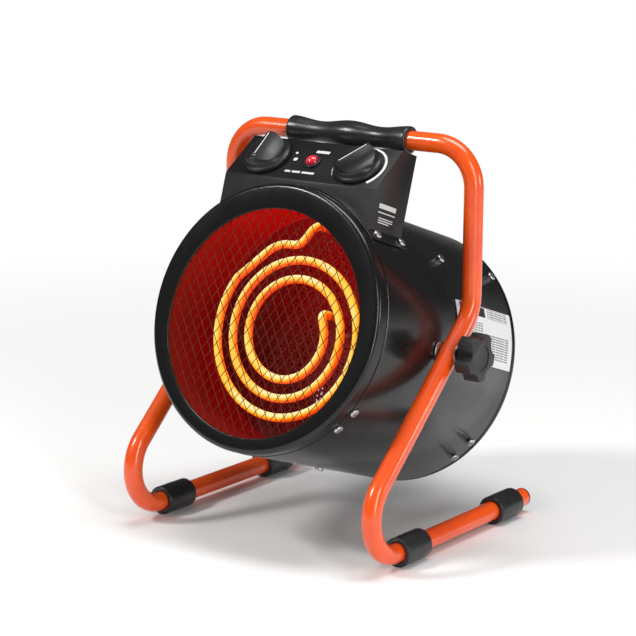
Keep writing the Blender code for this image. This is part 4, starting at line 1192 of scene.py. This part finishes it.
class HEATER_OT_screws(bpy.types.Operator):
    """Turn one cross-recessed screw and copy it to every place"""
    bl_idname = "heater.screws"
    bl_label = "Screws"

    def execute(self, context):
        rim = 3.8 * MM
        outline = [(0, -4 * MM), (1.5 * MM, -4 * MM), (1.8 * MM, -3.4 * MM), (1.8 * MM, 0.3 * MM),
                   (rim, 0.3 * MM),
                   (rim, 0.9 * MM), *arc((rim - 1.2 * MM, 0.9 * MM), 1.2 * MM, 20, 70, 3), (0, 2.4 * MM)]
        screw = turned("screw", outline, 28)
        for turn in (0, pi / 2):
            alone()
            bpy.ops.mesh.primitive_cube_add(size=1, scale=(4.2 * MM, 0.85 * MM, 1.6 * MM),
                                            location=(0, 0, 2.3 * MM),
                                            rotation=(0, 0, turn))
            cut(screw, named("slot"))
        smooth(screw, 40)
        for number, node in enumerate(sorted(name for name in frame["nodes"] if "screw_" in name)):
            spot = DRUM.inverted() @ middle(node)
            out = DRUM.to_3x3() @ Vector((spot.x, spot.y, 0)).normalized()
            top = reach(node, out, MOUTH)[1]
            along = FRONT * spot.z
            place = axes(MOUTH + along + out * (top - 2.4 * MM), out.cross(FRONT), FRONT, out)
            twin = copied(screw, node.replace("screw", "panhead"),
                          place @ Matrix.Rotation(number * 1.3, 4, "Z"))
            dress(twin, "zinc_steel", "drum", "zinc_steel", node)
        bpy.data.objects.remove(screw)
        return {"FINISHED"}


class HEATER_OT_stage(bpy.types.Operator):
    """Lay the floor, hang the lights and set the camera"""
    bl_idname = "heater.stage"
    bl_label = "Studio"

    lights = (
        ("key", (-1.3, -1.5, 1.9), 0.5, 0.5, 34.0, (1.0, 0.99, 0.97)),
        ("strip", (2.0, -1.1, 1.0), 0.30, 1.9, 24.0, (1.0, 0.98, 0.95)),
        ("top", (0.2, 0.1, 2.2), 0.7, 1.6, 30.0, (1.0, 1.0, 1.0)),
        ("low", (2.0, 0.9, 0.55), 0.8, 0.5, 8.0, (0.98, 0.99, 1.0)),
    )

    def execute(self, context):
        alone()
        bpy.ops.mesh.primitive_circle_add(vertices=96, radius=14, fill_type="NGON")
        floor = named("floor")
        finish = Finish("floor_paper", Roughness=0.9, Base_Color=(0.86, 0.86, 0.86), Specular_IOR_Level=0.1)
        x, y = finish.split(finish.place())[:2]
        seen = Value(finish, finish.node("ShaderNodeLightPath").socket.node.outputs["Is Camera Ray"])
        far = (x * x + y * y).power(0.5).ramp(0.35, 1.3) * seen
        white = finish.node("ShaderNodeEmission", {}, {"Color": (1.0, 1.0, 1.0), "Strength": 1.0})
        blend = finish.node("ShaderNodeMixShader", {}, {0: far, 1: Value(finish, finish.shader.outputs[0]),
                                                        2: white})
        finish.material.node_tree.links.new(blend.socket, finish.nodes["Material Output"].inputs[0])
        floor.data.materials.append(finish.material)
        for name, place, width, height, power, colour in self.lights:
            aim = (Vector((0, 0, 0.15)) - Vector(place)).to_track_quat("-Z", "Y").to_euler()
            bpy.ops.object.light_add(type="AREA", location=place, rotation=aim)
            lamp = context.object
            lamp.name = lamp.data.name = f"softbox_{name}"
            lamp.data.shape = "RECTANGLE"
            lamp.data.size, lamp.data.size_y = width, height
            lamp.data.energy = power
            lamp.data.color = colour
        studio = context.scene.heater_studio
        world = bpy.data.worlds.new("studio_air")
        world.use_nodes = True
        nodes, links = world.node_tree.nodes, world.node_tree.links
        air = nodes["Background"]
        path = nodes.new("ShaderNodeLightPath")
        white, dim = nodes.new("ShaderNodeBackground"), nodes.new("ShaderNodeMixShader")
        seen = nodes.new("ShaderNodeMixShader")
        shine = nodes.new("ShaderNodeBackground")
        air.inputs[0].default_value = (1.0, 1.0, 1.0, 1.0)
        air.inputs[1].default_value = studio.ambient
        shine.inputs[1].default_value = studio.reflected
        for source, target in ((path.outputs["Is Glossy Ray"], dim.inputs[0]),
                               (air.outputs[0], dim.inputs[1]),
                               (shine.outputs[0], dim.inputs[2]), (path.outputs["Is Camera Ray"],
                                                                   seen.inputs[0]),
                               (dim.outputs[0], seen.inputs[1]), (white.outputs[0], seen.inputs[2]),
                               (seen.outputs[0], nodes["World Output"].inputs[0])):
            links.new(source, target)
        white.inputs[0].default_value = shine.inputs[0].default_value = (1.0, 1.0, 1.0, 1.0)
        context.scene.world = world
        bpy.ops.object.camera_add(location=studio.stand)
        camera = context.object
        camera.name = camera.data.name = "camera"
        camera.rotation_euler = (Matrix.Rotation(studio.azimuth, 3, "Z")
                                 @ Matrix.Rotation(pi / 2 - studio.elevation, 3, "X")
                                 @ Matrix.Rotation(studio.roll, 3, "Z")).to_euler()
        camera.data.lens = studio.lens
        camera.data.sensor_width = 36.0
        context.scene.camera = camera
        context.scene.view_settings.view_transform = "Standard"
        return {"FINISHED"}


PIECES = (HEATER_OT_finishes, HEATER_OT_stand, HEATER_OT_feet, HEATER_OT_grip, HEATER_OT_drum,
          HEATER_OT_rear, HEATER_OT_fan,
          HEATER_OT_guard,
          HEATER_OT_element, HEATER_OT_hot_zone, HEATER_OT_control_box, HEATER_OT_controls, HEATER_OT_clamps,
          HEATER_OT_screws, HEATER_OT_stage)


class HEATER_PT_panel(bpy.types.Panel):
    """Lists the steps that make the heater's looks"""
    bl_label = "Round fan heater"
    bl_idname = "HEATER_PT_panel"
    bl_space_type = "VIEW_3D"
    bl_region_type = "UI"
    bl_category = "Heater"

    def draw(self, context):
        for group in (context.scene.heater_sizes, context.scene.heater_colours, context.scene.heater_studio):
            for key in group.bl_rna.properties.keys():
                if key not in ("rna_type", "name"):
                    self.layout.prop(group, key)
        for step in PIECES:
            self.layout.operator(step.bl_idname)


GROUPS = {"heater_sizes": HeaterSizes, "heater_colours": HeaterColours, "heater_studio": HeaterStudio}


def register():
    for name, group in GROUPS.items():
        bpy.utils.register_class(group)
        setattr(bpy.types.Scene, name, PointerProperty(type=group))
    for step in (*PIECES, HEATER_PT_panel):
        bpy.utils.register_class(step)


def unregister():
    for step in (HEATER_PT_panel, *reversed(PIECES)):
        bpy.utils.unregister_class(step)
    for name, group in GROUPS.items():
        delattr(bpy.types.Scene, name)
        bpy.utils.unregister_class(group)


def main():
    register()
    bpy.ops.heater.finishes()
    bpy.ops.heater.stand()
    bpy.ops.heater.feet()
    bpy.ops.heater.grip()
    bpy.ops.heater.drum()
    bpy.ops.heater.rear()
    bpy.ops.heater.fan()
    bpy.ops.heater.guard()
    bpy.ops.heater.element()
    bpy.ops.heater.hot_zone()
    bpy.ops.heater.control_box()
    bpy.ops.heater.controls()
    bpy.ops.heater.clamps()
    bpy.ops.heater.screws()
    bpy.ops.heater.stage()


if __name__ == "__main__":
    main()
